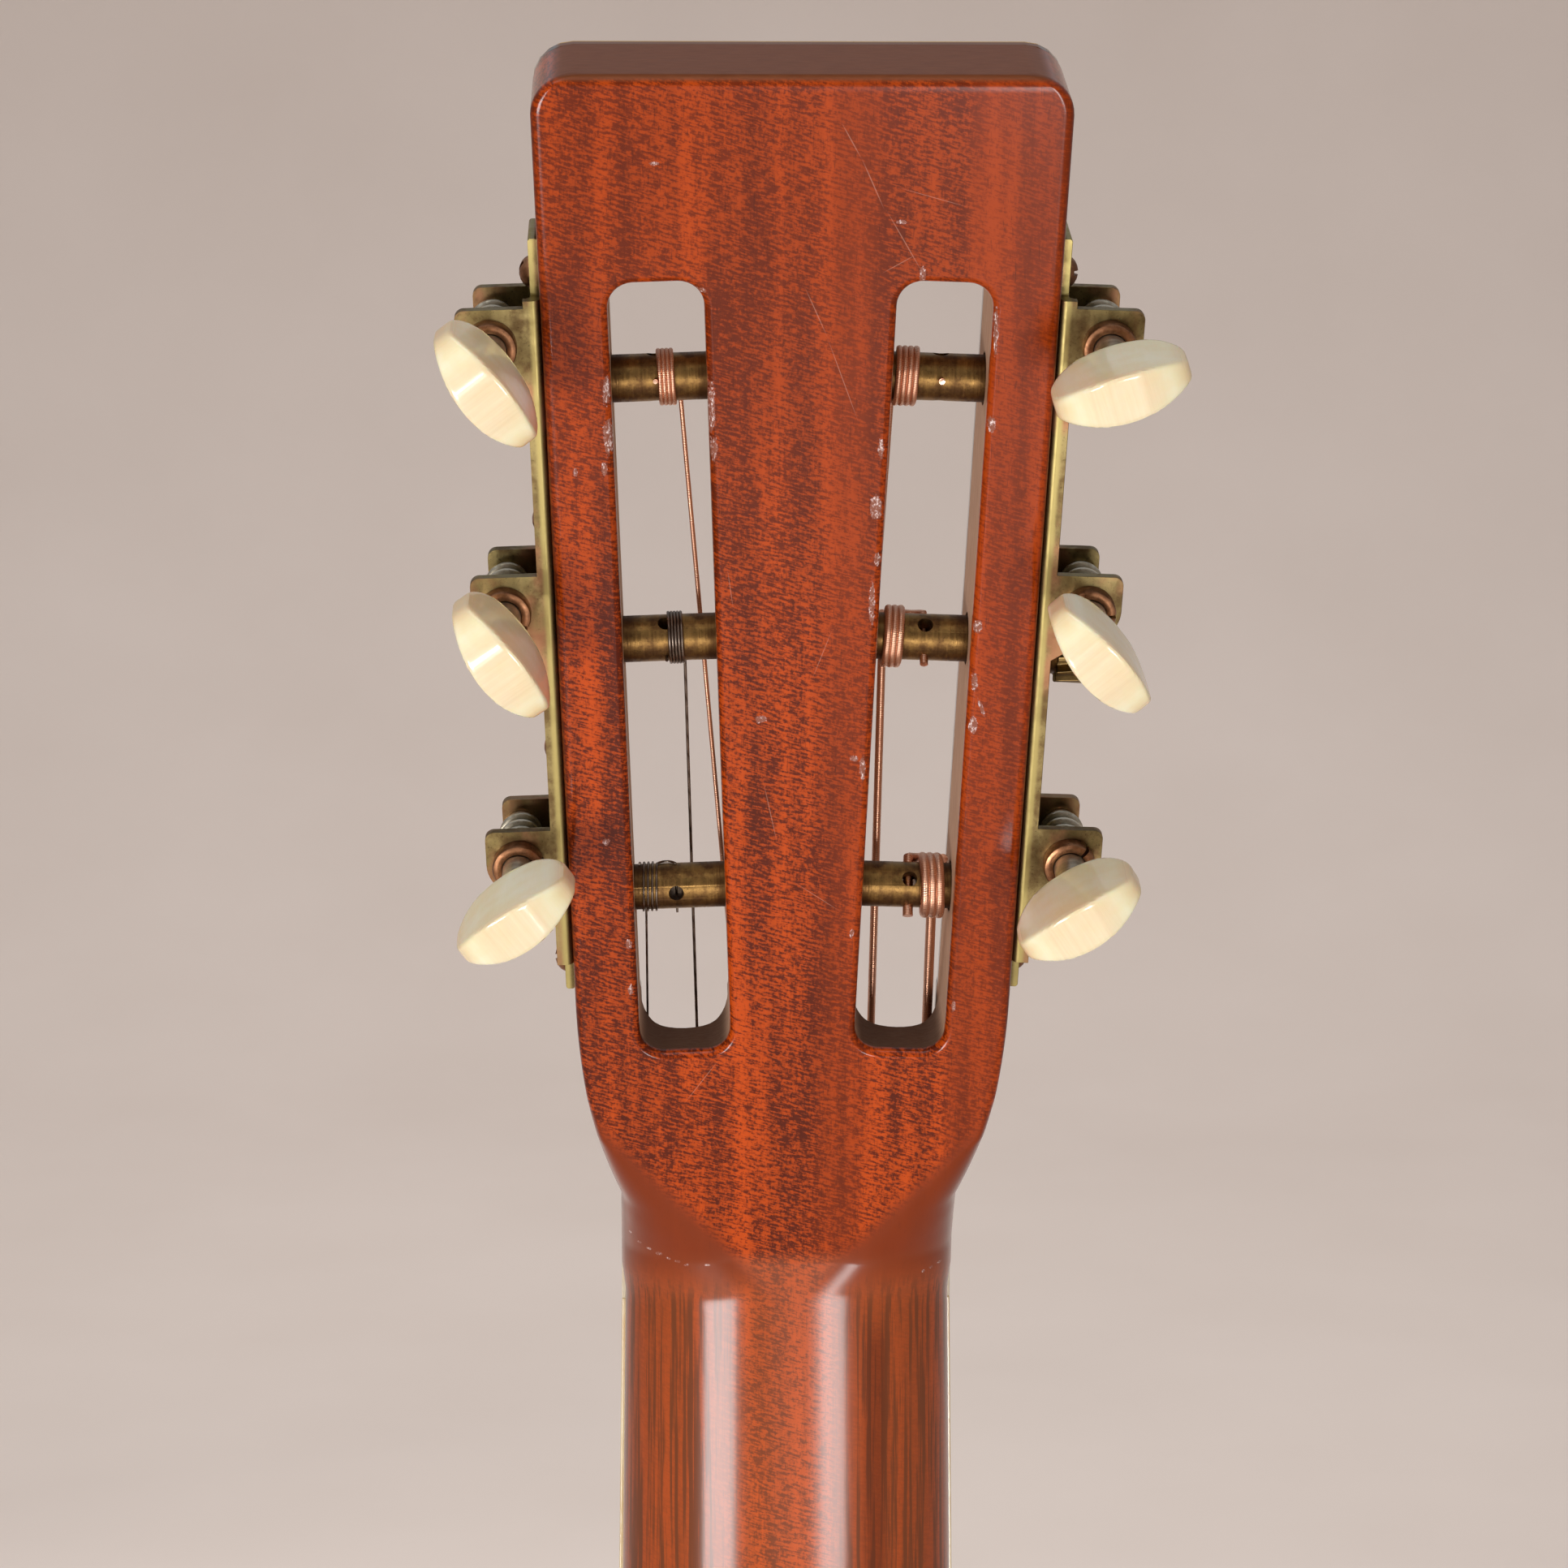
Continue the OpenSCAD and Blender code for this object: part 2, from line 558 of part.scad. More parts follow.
module tuner_plate(side) {
    low = -roller_depth - ear_gap / 2 - ear_t;
    high = -roller_depth + ear_gap / 2 + ear_t;
    edge_frame(side) difference() {
        union() {
            translate([0, low + fold_r, plate_low])
                cube([plate_t, high - low - 2 * fold_r, plate_high - plate_low]);
            slab_xz(-roller_depth - tab_half, -roller_depth + tab_half)
                rounded_box_2d(0, tab_low, plate_t, tab_high, 0.4);
            for (e = [[low, 1], [high, -1]]) {
                translate([fold_r, e[0] + (e[1] > 0 ? 0 : -ear_t), plate_low])
                    cube([fold_h - fold_r, ear_t, plate_high - plate_low]);
                translate([fold_r, e[0] + e[1] * fold_r, plate_low])
                    cylinder(r = fold_r, h = plate_high - plate_low, $fn = 32);
            }
            for (k = [0:2]) translate([0, 0, roller_first + k * roller_pitch + worm_centre]) {
                ear(ear_back, 4.65, 4.2, 4.2, bush_r - 0.5);
                slab_xz(ear_back, ear_back + ear_t)
                    polygon([[1, -7], [fold_h, -7], [worm_out, -4.2], [1, -4]]);
                ear(ear_front - ear_t, 3.7, 2.4, 2.4, pivot_r + running);
                slab_xz(ear_front - ear_t, ear_front)
                    polygon([[1, -5], [fold_h, -5], [worm_out, -2.4], [1, -2.2]]);
            }
        }
        for (k = [0:2])
            translate([-1, -roller_depth, roller_first + k * roller_pitch]) rotate([0, 90, 0])
                cylinder(r = roller_r + running, h = 4);
        for (up = screw_ups) translate([-1, -roller_depth, up]) rotate([0, 90, 0])
            cylinder(r = pilot_r + 0.25, h = plate_t + 2);
    }
}
module tuner_plate_bass() { color(old_brass) tuner_plate(-1); }
module tuner_plate_treble() { color(old_brass) tuner_plate(1); }

pivot_r = 1.4;
module worm_bushes() {
    color(copper) for (n = STRINGS) edge_frame(hand(n))
        translate([worm_out, ear_back, roller_up(n) + worm_centre]) rotate([-90, 0, 0])
            difference() {
                union() {
                    cylinder(r = bush_r - 0.5, h = ear_t + eps);
                    translate([0, 0, ear_t]) cylinder(r = bush_r, h = bush_h);
                }
                translate([0, 0, -1]) cylinder(r = shaft_r + running, h = ear_t + bush_h + 2);
            }
}
module plate_screws() {
    head_r = 2;
    color(copper) for (side = [-1, 1], up = screw_ups)
        edge_frame(side) translate([plate_t, -roller_depth, up]) rotate([0, 90, 0])
            difference() {
                union() {
                    intersection() {
                        cylinder(r = head_r, h = 1.4);
                        translate([0, 0, -1.1]) sphere(r = 2.5);
                    }
                    translate([0, 0, -plate_t - min(screw_deep, rail_w - 1)])
                        cylinder(r = pilot_r, h = plate_t + min(screw_deep, rail_w - 1) + eps);
                }
                translate([-head_r - 1, -0.3, 0.8]) cube([2 * head_r + 2, 0.6, 1]);
            }
}
// Worm: a helical thread on a core, with a thin front pivot and a thick shaft to the button
thread_len = ear_gap - 1.6;
thread_steps = 20;
module worm_thread() {
    turns = (thread_len - 1.2) / tooth_pitch;
    n = ceil(turns * thread_steps);
    profile = [[core_r - 0.25, -0.72], [worm_r, -0.24], [worm_r, 0.24], [core_r - 0.25, 0.72]];
    rings = [for (i = [0:n]) let (a = 90 + 360 * turns * (i / n - 0.5),
        z = tooth_pitch * turns * (i / n - 0.5))
        [for (p = profile) [p[0] * cos(a), p[0] * sin(a), z + p[1]]]];
    loft(rings);
}
shaft_end = button_out - button_h / 2 + 8;
module worm(n) {
    at = roller_depth + shaft_end;
    color(steel) at_roller(n) translate([worm_out, 0, worm_centre]) rotate([-90, 0, 0]) {
        union() {
            worm_thread();
            translate([0, 0, -thread_len / 2]) cylinder(r = core_r, h = thread_len);
            translate([0, 0, -ear_gap / 2 - ear_t]) cylinder(r = pivot_r, h = ear_t + 1);
            translate([0, 0, -ear_gap / 2 + 0.1]) cylinder(r = shaft_r, h = 0.8);
            translate([0, 0, ear_gap / 2 - 0.9]) cylinder(r = shaft_r, h = at - ear_gap / 2 + 0.9);
        }
    }
}
// Buttons stand at their own angle about the shaft
button_turn = [-33, 56, 54, 20, -46, 35];
module lens_2d(len, wide, tip) {
    // Two arcs through the middle thickness and the blunt tips
    half = len / 2;
    rise = (wide - tip) / 2;
    r = (half * half + rise * rise) / (2 * rise);
    intersection() {
        translate([0, wide / 2 - r]) circle(r, $fn = 96);
        translate([0, r - wide / 2]) circle(r, $fn = 96);
        square([len, wide], center = true);
    }
}
module button(n) {
    color(cream) at_roller(n)
        translate([worm_out, roller_depth + button_out, worm_centre])
            rotate([0, -button_turn[n - 1], 0]) difference() {
                intersection() {
                    translate([0, button_h / 2, 0]) rotate([90, 0, 0])
                        linear_extrude(button_h) lens_2d(button_w, button_t, 2.2);
                    translate([0, 0, -button_t / 2 - 1]) linear_extrude(button_t + 2)
                        button_face();
                }
                translate([0, -button_h / 2 - 1, 0]) rotate([-90, 0, 0])
                    cylinder(r = shaft_r + 0.01, h = 1 + 8);
            }
}
// Oval of the broad side, in (along, out)
module button_face() {
    r = (button_w * button_w / 4 + button_h * button_h / 4) / button_h;
    intersection() {
        rounded_box_2d(-button_w / 2, -button_h / 2, button_w / 2, button_h / 2, button_h * 0.42);
        translate([0, button_h / 2 - r * 1.25]) circle(r * 1.25, $fn = 96);
    }
}
module gear(n) {
    face = gear_face[1] - gear_face[0];
    color(old_brass) at_roller(n) {
        difference() {
            translate([gear_face[0], 0, 0]) rotate([0, 90, 0]) cylinder(r = gear_r, h = face);
            translate([gear_face[0] - 1, 0, 0]) rotate([0, 90, 0])
                cylinder(r = neck_pin_r, h = face + 2);
            for (k = [0:gear_teeth - 1]) rotate([360 * k / gear_teeth, 0, 0])
                translate([worm_out, 0, gear_pitch_r]) rotate([0, 0, -lead]) gash();
        }
        // Screw that holds the gear on the square of the roller
        difference() {
            translate([gear_face[1], 0, 0]) rotate([0, 90, 0]) cylinder(r = 2.6, h = 1.1);
            translate([gear_face[1] + 0.6, -3, -0.35]) cube([1, 6, 0.7]);
        }
    }
}
// One gap between gear teeth, along x, centred on the pitch circle
module gash() {
    gap = 0.3 * tooth_pitch;
    down = gear_pitch_r - (worm_centre - worm_r) + 0.1;
    up = gear_r - gear_pitch_r + 0.6;
    translate([-6, 0, 0]) rotate([90, 0, 90]) linear_extrude(12)
        polygon([[-gap + down * flank, -down], [gap - down * flank, -down],
                 [gap + up * flank, up], [-gap - up * flank, up]]);
}
string_hole = 13.8;
hole_turn = [4, 61, 100, 100, 54, 40];   // direction of each string hole from the back face
module post(n) {
    inner = rail_w + slot_w + web_grip;
    color(old_brass) at_roller(n) difference() {
        union() {
            translate([-inner, 0, 0]) rotate([0, 90, 0])
                cylinder(r = roller_r, h = inner + plate_t + 0.1 + eps);
            translate([plate_t + 0.1, 0, 0]) rotate([0, 90, 0])
                cylinder(r = boss_r, h = gear_face[0] - plate_t - 0.1);
            translate([gear_face[0] - eps, 0, 0]) rotate([0, 90, 0])
                cylinder(r = neck_pin_r, h = gear_face[1] - gear_face[0]);
        }
        translate([-string_hole, 0, 0]) rotate([hole_turn[n - 1], 0, 0]) rotate([90, 0, 0])
            cylinder(r = 1, h = 4 * roller_r, center = true);
    }
}

// --- Body ---------------------------------------------------------------------------------
seat_half = 30;                          // flat length at the neck joint, each side
upper_z = 96;
waist_z = 200;
lower_z = body_len - 128;
bend_steps = 9;
function bezier(p, t) = pow(1 - t, 3) * p[0] + 3 * t * pow(1 - t, 2) * p[1]
    + 3 * t * t * (1 - t) * p[2] + pow(t, 3) * p[3];
function slope(p, t) = 3 * pow(1 - t, 2) * (p[1] - p[0]) + 6 * t * (1 - t) * (p[2] - p[1])
    + 3 * t * t * (p[3] - p[2]);
bends = let (u = upper_w / 2, w = waist_w / 2, l = lower_w / 2) [
    [[seat_half, 0], [u * 0.72, 0], [u, -upper_z * 0.42], [u, -upper_z]],
    [[u, -upper_z], [u, -upper_z - 48], [w, -waist_z + 48], [w, -waist_z]],
    [[w, -waist_z], [w, -waist_z - 58], [l, -lower_z + 92], [l, -lower_z]],
    [[l, -lower_z], [l, -lower_z - 76], [l * 0.56, -body_len], [0, -body_len]]];
// Right half of the body outline, moved inwards by d
function half_body(d) = concat([[0, -d]], [for (b = bends, i = [0:bend_steps - 1])
    let (t = i / bend_steps, v = slope(b, t), q = bezier(b, t))
    q - d * [-v[1], v[0]] / norm(v)], [[0, d - body_len]]);
module body_plan(d) {
    h = half_body(d);
    translate([0, body_z]) polygon(concat(h, [for (i = [len(h) - 2:-1:1]) [-h[i][0], h[i][1]]]));
}
module body_prism(d, front, back) { slab_xz(front, back) body_plan(d); }
// Tilted frame of the back: local y = 0 is its outer face
module back_frame() {
    translate([0, board_y + depth_neck, body_z]) rotate([back_tilt, 0, 0]) children();
}
module behind_back(y) {
    back_frame() translate([-300, y, -2 * body_len]) cube([600, 100, 3 * body_len]);
}
module back_slab(front, back) {
    back_frame() translate([-300, front, -2 * body_len]) cube([600, back - front, 3 * body_len]);
}
far_y = board_y + depth_tail + 30;
module side_half(side) {
    difference() {
        intersection() {
            body_prism(0, inner_y, far_y);
            translate([side > 0 ? 0 : -300, -200, tail_z - 50]) cube([300, 600, body_len + 100]);
        }
        body_prism(side_t, inner_y - 1, far_y + 1);
        behind_back(-back_t);
        // Rebates for the binding
        difference() {
            union() {
                translate([-300, inner_y - 1, tail_z - 50])
                    cube([600, bind_h - top_t + 1, body_len + 100]);
                back_slab(-bind_h, 10);
            }
            body_prism(bind_t, inner_y - 2, far_y + 2);
        }
        tenon(0.1);
        end_pin_space();
    }
}
module side_bass() { color(mahogany) side_half(-1); }
module side_treble() { color(mahogany) side_half(1); }
module soundboard() {
    color(spruce) difference() {
        body_prism(bind_t, board_y, inner_y);
        translate([0, board_y - 1, hole_z]) rotate([-90, 0, 0]) cylinder(r = hole_r, h = 10, $fn = 96);
        rosette_ring(0.02, 1);
        for (n = STRINGS) pin_space(n);
        tenon(0.1);
    }
}
rosette_in = 5;                          // from the edge of the soundhole
rosette_w = 9;
rosette_t = 1.2;
module rosette_ring(gap, up) {
    translate([0, board_y - up, hole_z]) rotate([-90, 0, 0]) difference() {
        cylinder(r = hole_r + rosette_in + rosette_w + gap, h = rosette_t + up, $fn = 96);
        translate([0, 0, -1])
            cylinder(r = hole_r + rosette_in - gap, h = rosette_t + up + 2, $fn = 96);
    }
}
module rosette() {
    color(rosewood) difference() {
        rosette_ring(0, 0);
        // The fingerboard ends on the ring
        translate([-40, board_y - 1, board_end - 0.05]) cube([80, 10, 60]);
    }
}
module back() {
    color(mahogany) intersection() {
        body_prism(bind_t, 0, far_y);
        back_slab(-back_t, 0);
    }
}
module body_binding() {
    color(cream) {
        difference() {
            body_prism(0, board_y, board_y + bind_h);
            body_prism(bind_t, board_y - 1, board_y + bind_h + 1);
            tenon(0.1);
        }
        difference() {
            intersection() {
                body_prism(0, 0, far_y);
                back_slab(-bind_h, 0);
            }
            body_prism(bind_t, -1, far_y + 1);
        }
    }
}
block_half = 36;
block_len = 42;
tail_half = 32;
tail_len = 20;
module neck_block() {
    color(mahogany) difference() {
        intersection() {
            body_prism(side_t, inner_y, far_y);
            translate([-block_half, inner_y, body_z - side_t - block_len])
                cube([2 * block_half, 200, block_len + 20]);
        }
        behind_back(-back_t);
        tenon(0.1);
    }
}
module tail_block() {
    color(mahogany) difference() {
        intersection() {
            body_prism(side_t, inner_y, far_y);
            translate([-tail_half, inner_y, tail_z - 20])
                cube([2 * tail_half, 200, tail_len + side_t + 20]);
        }
        behind_back(-back_t);
        end_pin_space();
    }
}
// Glued strips that widen the joints of the sides with soundboard and back
module linings() {
    gap = 0.1;
    color(mahogany) difference() {
        for (half = [-1, 1]) intersection() {
            difference() {
                union() {
                    body_prism(side_t, inner_y, inner_y + lining_h);
                    intersection() {
                        body_prism(side_t, 0, far_y);
                        back_slab(-back_t - lining_h, -back_t);
                    }
                }
                body_prism(side_t + lining_w, inner_y - 1, far_y + 1);
            }
            translate([half > 0 ? 0 : -300, -200, tail_z]) cube([300, 600, body_len]);
        }
        translate([-block_half - gap, -200, body_z - block_len - 30])
            cube([2 * (block_half + gap), 600, block_len + 60]);
        translate([-tail_half - gap, -200, tail_z - 30])
            cube([2 * (tail_half + gap), 600, tail_len + 60]);
    }
}
// A brace bar on the soundboard, ending at the linings
module bar(x, z, turn, len, w, h) {
    translate([x, inner_y, z]) rotate([0, turn, 0]) translate([-len / 2, 0, 0])
        rotate([90, 0, 90]) linear_extrude(len)
            polygon([[0, -w / 2], [h * bar_slope, -w / 2], [h, -w / 6], [h, w / 6],
                     [h * bar_slope, w / 2], [0, w / 2]]);
}
brace_gap = 0.2;                         // gap between the braces and the linings
cross_back = 26;                         // from the soundhole to the crossing of the X
cross_z = hole_z - hole_r - cross_back;
cross_turn = 49;
cross_len = 420;
shoulder_bar = [20, 300];                // distance above the soundhole, length
bar_slope = 0.6;                         // share of a brace's height that stays upright
// Braces beside the X: x, z from the crossing, turn, length
tone_bars = [[-10, -136, -32, 96], [-22, -178, -32, 120]];
finger_bars = [[112, 2, 12, 44], [120, -50, 22, 44]];
bridge_plate_w = 150;
bridge_plate_l = 38;
bridge_plate_t = 2.6;
bridge_plate_low = 20;                   // how far the bridge plate reaches behind the pins
module top_braces() {
    difference() {
        union() {
            color(spruce) intersection() {
                body_prism(side_t + lining_w + brace_gap, inner_y, far_y);
                union() {
                    for (a = [-1, 1]) bar(0, cross_z, a * cross_turn, cross_len, brace_w, brace_h);
                    bar(0, hole_z + hole_r + shoulder_bar[0], 0, shoulder_bar[1],
                        brace_w + 2, brace_h + 1);
                    for (b = tone_bars)
                        bar(b[0], cross_z + b[1], b[2], b[3], brace_w - 1, brace_h - 3);
                    for (a = [-1, 1], b = finger_bars)
                        bar(a * b[0], cross_z + b[1], a * b[2], b[3], brace_w - 1, brace_h - 4);
                }
            }
            color(rosewood) translate([-bridge_plate_w / 2, inner_y, pin_z - bridge_plate_low])
                cube([bridge_plate_w, bridge_plate_t, bridge_plate_l]);
        }
        for (n = STRINGS) pin_space(n);
    }
}
back_brace_at = [70, 160, 270, 395];     // from the top edge of the body
strip_w = 18;                            // strip over the joint of the two halves of the back
strip_t = 1.6;
module back_braces() {
    color(spruce) intersection() {
        body_prism(side_t + lining_w + brace_gap, 0, far_y);
        back_frame() {
            for (z = back_brace_at) translate([-200, -back_t - back_brace_h, -z - brace_w / 2])
                cube([400, back_brace_h, brace_w]);
            for (i = [0:2]) translate([-strip_w / 2, -back_t - strip_t,
                    -back_brace_at[i + 1] + brace_w / 2 + brace_gap / 2])
                cube([strip_w, strip_t,
                      back_brace_at[i + 1] - back_brace_at[i] - brace_w - brace_gap]);
        }
    }
}

// --- Bridge -------------------------------------------------------------------------------
bridge_top = saddle_z + 7;
pin_r = 2.4;
pin_len = 20;
module pin_space(n) {
    translate([across(n, saddle_spread), board_y - bridge_h - 1, pin_z]) rotate([-90, 0, 0])
        cylinder(r = pin_r, h = 30);
}
saddle_lean = 1.6;
module saddle_blank(gap, low, high) {
    translate([0, 0, saddle_z]) rotate([0, -saddle_lean, 0])
        translate([-saddle_w / 2 - gap, low, -saddle_t / 2 - gap])
            cube([saddle_w + 2 * gap, high - low, saddle_t + 2 * gap]);
}
module bridge() {
    wing = 3.4;
    flat = saddle_w / 2 + 8;
    color(ebony) difference() {
        translate([0, board_y, bridge_top - bridge_l]) linear_extrude(bridge_l)
            polygon([[-bridge_w / 2, 0], [bridge_w / 2, 0], [bridge_w / 2, -wing],
                     [flat + 8, -wing - 0.8], [flat, -bridge_h], [-flat, -bridge_h],
                     [-flat - 8, -wing - 0.8], [-bridge_w / 2, -wing]]);
        saddle_blank(0.03, board_y - bridge_h - 1, board_y - bridge_h + 5.5);
        for (n = STRINGS) {
            pin_space(n);
            // Notch that lets the string rise from its pin hole
            string_notch(n);
        }
    }
}
module string_notch(n) {
    r = string_r[n - 1] + 0.2;
    v = over_saddle(n) - pin_top(n);
    translate(pin_top(n)) rotate([atan2(-v[1], v[2]), 0, 0])
        translate([0, 0, -1]) cylinder(r = r, h = 8);
}
module saddle() {
    color(bone) saddle_blank(0, saddle_top, board_y - bridge_h + 5.4);
}
module bridge_pins() {
    color(cream) for (n = STRINGS)
        translate([across(n, saddle_spread), board_y - bridge_h, pin_z]) rotate([-90, 0, 0])
            difference() {
                union() {
                    translate([0, 0, -0.1]) cylinder(r = pin_r - 0.03, h = pin_len);
                    intersection() {
                        translate([0, 0, -1.4]) sphere(r = 3.4);
                        translate([0, 0, -4.6]) cylinder(r = 4, h = 4.5);
                    }
                }
                // Groove down the front for the string
                translate([0, -pin_r, -0.6]) cylinder(r = string_r[n - 1] + 0.2, h = pin_len + 2);
            }
}
pin_y = board_y + (depth_neck + depth_tail) / 4 + 6;
end_shank_r = 5;
end_shank = side_t + tail_len - 4;
strap_r = 4;
strap_len = 5;
module end_pin_space() {
    translate([0, pin_y, tail_z - 5]) cylinder(r = end_shank_r + 0.02, h = end_shank + 5.1);
}
module end_pin() {
    color(ebony) translate([0, pin_y, tail_z]) rotate([180, 0, 0]) rotate_extrude()
        polygon([[0, -end_shank], [end_shank_r, -end_shank], [end_shank_r, 0], [6, 0], [6, 1.2],
                 [strap_r, 1.2], [strap_r, 1.2 + strap_len], [6.6, 2.6 + strap_len],
                 [6.6, 4 + strap_len], [5, 5.4 + strap_len], [0, 5.4 + strap_len]]);
}

neck();
headplate();
nut();
fingerboard();
fingerboard_binding();
frets();
fret_markers();
neck_bar();
heel_cap();
neck_block();
tail_block();
soundboard();
rosette();
back();
side_bass();
side_treble();
linings();
body_binding();
top_braces();
back_braces();
bridge();
saddle();
bridge_pins();
end_pin();
tuner_plate_bass();
tuner_plate_treble();
worm_bushes();
plate_screws();
plain_strings();
wound_strings();
for (n = STRINGS) {
    button(n);
    worm(n);
    gear(n);
    post(n);
    winding(n);
}
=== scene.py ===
# %% [markdown]
# # A flat-top guitar with a slotted headstock
# The exact solids of the guitar come in as a fixed frame, in metres. Z runs up the neck, Y points
# out of the back and X to the treble side. Every piece made here goes where the frame says, and
# each one takes over from a plain solid. Lengths below are written in millimetres and multiplied
# by MM.

# %% Load the frame
import math

import bmesh
import bpy
from mathutils import Matrix, Vector


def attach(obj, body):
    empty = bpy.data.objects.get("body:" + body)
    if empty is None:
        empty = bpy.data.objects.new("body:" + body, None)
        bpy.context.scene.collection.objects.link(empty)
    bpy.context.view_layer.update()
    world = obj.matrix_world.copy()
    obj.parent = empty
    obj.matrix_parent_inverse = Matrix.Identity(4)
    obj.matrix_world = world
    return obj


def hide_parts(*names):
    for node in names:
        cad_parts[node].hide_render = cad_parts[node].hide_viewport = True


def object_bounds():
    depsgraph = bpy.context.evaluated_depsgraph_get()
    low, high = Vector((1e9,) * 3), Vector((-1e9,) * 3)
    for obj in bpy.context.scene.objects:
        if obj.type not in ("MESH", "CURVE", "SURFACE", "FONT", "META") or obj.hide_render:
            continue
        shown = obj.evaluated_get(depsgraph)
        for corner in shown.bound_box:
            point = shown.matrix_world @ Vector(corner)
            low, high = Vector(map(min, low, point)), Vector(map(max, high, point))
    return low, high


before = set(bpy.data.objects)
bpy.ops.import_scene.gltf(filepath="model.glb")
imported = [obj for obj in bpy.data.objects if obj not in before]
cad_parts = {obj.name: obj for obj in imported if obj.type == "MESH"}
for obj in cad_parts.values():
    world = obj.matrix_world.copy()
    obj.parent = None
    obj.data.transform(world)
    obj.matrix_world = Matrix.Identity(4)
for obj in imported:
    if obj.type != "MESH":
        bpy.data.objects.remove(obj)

MM = 0.001
cad_box = [list(corner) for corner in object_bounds()]

# %% [markdown]
# ## Camera
# The viewer stands behind the headstock and looks slightly down at it through a long lens, so the
# neck shows almost no perspective. The camera is placed by its distance and its three turns.

# %% Camera
camera_data = bpy.data.cameras.new("camera")
camera_data.lens = 101.75
camera_data.sensor_width = 36
camera_data.clip_start = 0.02
camera = bpy.data.objects.new("camera", camera_data)
camera.location = (0.0190, 0.5813, 0.1549)
camera.rotation_euler = [math.radians(a) for a in (81.2, -0.08, 178.23)]
bpy.context.scene.collection.objects.link(camera)
bpy.context.scene.camera = camera
print("camera at", tuple(round(c, 3) for c in camera.location))

# %% [markdown]
# ## Meshes from points and faces
# A piece is a list of corner points and faces, and its faces must look outwards or it would shade
# wrongly. Some pieces also keep each point's place in their own frame, such as along a bend,
# because grain and wear follow the piece and not the guitar.

# %% Mesh helpers
def keep_own(mesh, places):
    """Store each point's place in the piece's own frame, in millimetres, for its finish."""
    layer = mesh.attributes.new("own", "FLOAT_VECTOR", "POINT")
    for point, place_in in zip(layer.data, places):
        point.vector = place_in


def face_outwards(obj):
    bm = bmesh.new()
    bm.from_mesh(obj.data)
    bmesh.ops.remove_doubles(bm, verts=bm.verts, dist=1e-6)
    bmesh.ops.recalc_face_normals(bm, faces=bm.faces)
    bm.to_mesh(obj.data)
    bm.free()


def new_object(name, verts, faces, own=None):
    mesh = bpy.data.meshes.new(name)
    mesh.from_pydata([tuple(v) for v in verts], [], faces)
    if own:
        keep_own(mesh, own)
    obj = bpy.data.objects.new(name, mesh)
    bpy.context.scene.collection.objects.link(obj)
    face_outwards(obj)
    return obj


print("a piece is points and faces that look outwards")

# %% [markdown]
# ## Lofts
# Most pieces of a guitar are lofts: a row of rings with the same number of points, joined ring to
# ring, with flat ends. A loft could also be made by hand with bridged edge loops, but as a
# function it takes any measure. What a modifier does is made real at once, so each piece stays a
# plain mesh.

# %% Loft, bake and smooth
def loft(name, rings, capped=True, closed=False, own=None):
    """Rings of points joined in a row. closed joins the last ring to the first."""
    around, count = len(rings[0]), len(rings)
    faces = []
    for i in range(count if closed else count - 1):
        a, b = i * around, (i + 1) % count * around
        faces += [(a + j, a + (j + 1) % around, b + (j + 1) % around, b + j) for j in range(around)]
    if capped and not closed:
        faces += [tuple(range(around)), tuple(range((count - 1) * around, count * around))]
    return new_object(name, [p for ring in rings for p in ring], faces, own)


def bake(obj):
    """Turn an object with modifiers into a plain mesh."""
    bpy.context.view_layer.update()
    evaluated = obj.evaluated_get(bpy.context.evaluated_depsgraph_get())
    mesh = bpy.data.meshes.new_from_object(evaluated)
    obj.modifiers.clear()
    obj.data = mesh
    return obj


def smooth(obj, angle=35):
    """Smooth shading that stays crisp at corners, with flat faces kept flat."""
    obj.data.shade_smooth()
    obj.data.set_sharp_from_angle(angle=math.radians(angle))
    weighted = obj.modifiers.new("flat faces first", "WEIGHTED_NORMAL")
    weighted.keep_sharp = True
    return bake(obj)


print("lofts, baked modifiers and smooth shading are ready")

# %% [markdown]
# ## The lie of the headstock
# The headstock tips back by fifteen degrees at a crease in the back of the neck, which is the
# origin of everything here. Its places are given across (w), out of its back face (h) and up from
# the crease (s). Its two edges lean outwards a little, and the tuning machines follow them, so
# they get a frame of their own: out from the edge, h again, and up along the edge.

# %% Headstock frames
HEAD_TILT = math.radians(15)
FLARE = math.radians(2.08)
HEAD_HALF, HEAD_LEN, HEAD_THICK, VENEER = 27.2, 163.0, 15.2, 2.0
RAIL, SLOT_W, SLOT_LOW, SLOT_HIGH, SLOT_R = 8.3, 11.9, 30.8, 136.6, 3.2
ROLLER_UP, ROLLER_STEP, ROLLER_DEEP = 51.7, 35.2, 7.6
WORM_OUT, WORM_UP = 6.4, 7.0
HEAD = Matrix.Rotation(-HEAD_TILT, 4, "X")


def head_point(w, h, s):
    return HEAD @ Vector((w, h, s)) * MM


def edge_matrix(side):
    """From (out, h, up) beside the headstock to the guitar's frame. side is 1 for treble."""
    lean = Matrix.Translation((HEAD_HALF, 0, 0)) @ Matrix.Rotation(FLARE, 4, "Y")
    return Matrix.Scale(MM, 4) @ HEAD @ Matrix.Scale(side, 4, (1, 0, 0)) @ lean


def side_of(n):
    return 1 if n <= 3 else -1


def roller_up(n):
    return ROLLER_UP + ROLLER_STEP * (n - 1 if n <= 3 else 6 - n)


def roller_matrix(n):
    """Origin on roller n's axis at the headstock's edge."""
    return edge_matrix(side_of(n)) @ Matrix.Translation((0, -ROLLER_DEEP, roller_up(n)))


print("roller 1 sits at", [round(c, 4) for c in roller_matrix(1).translation])

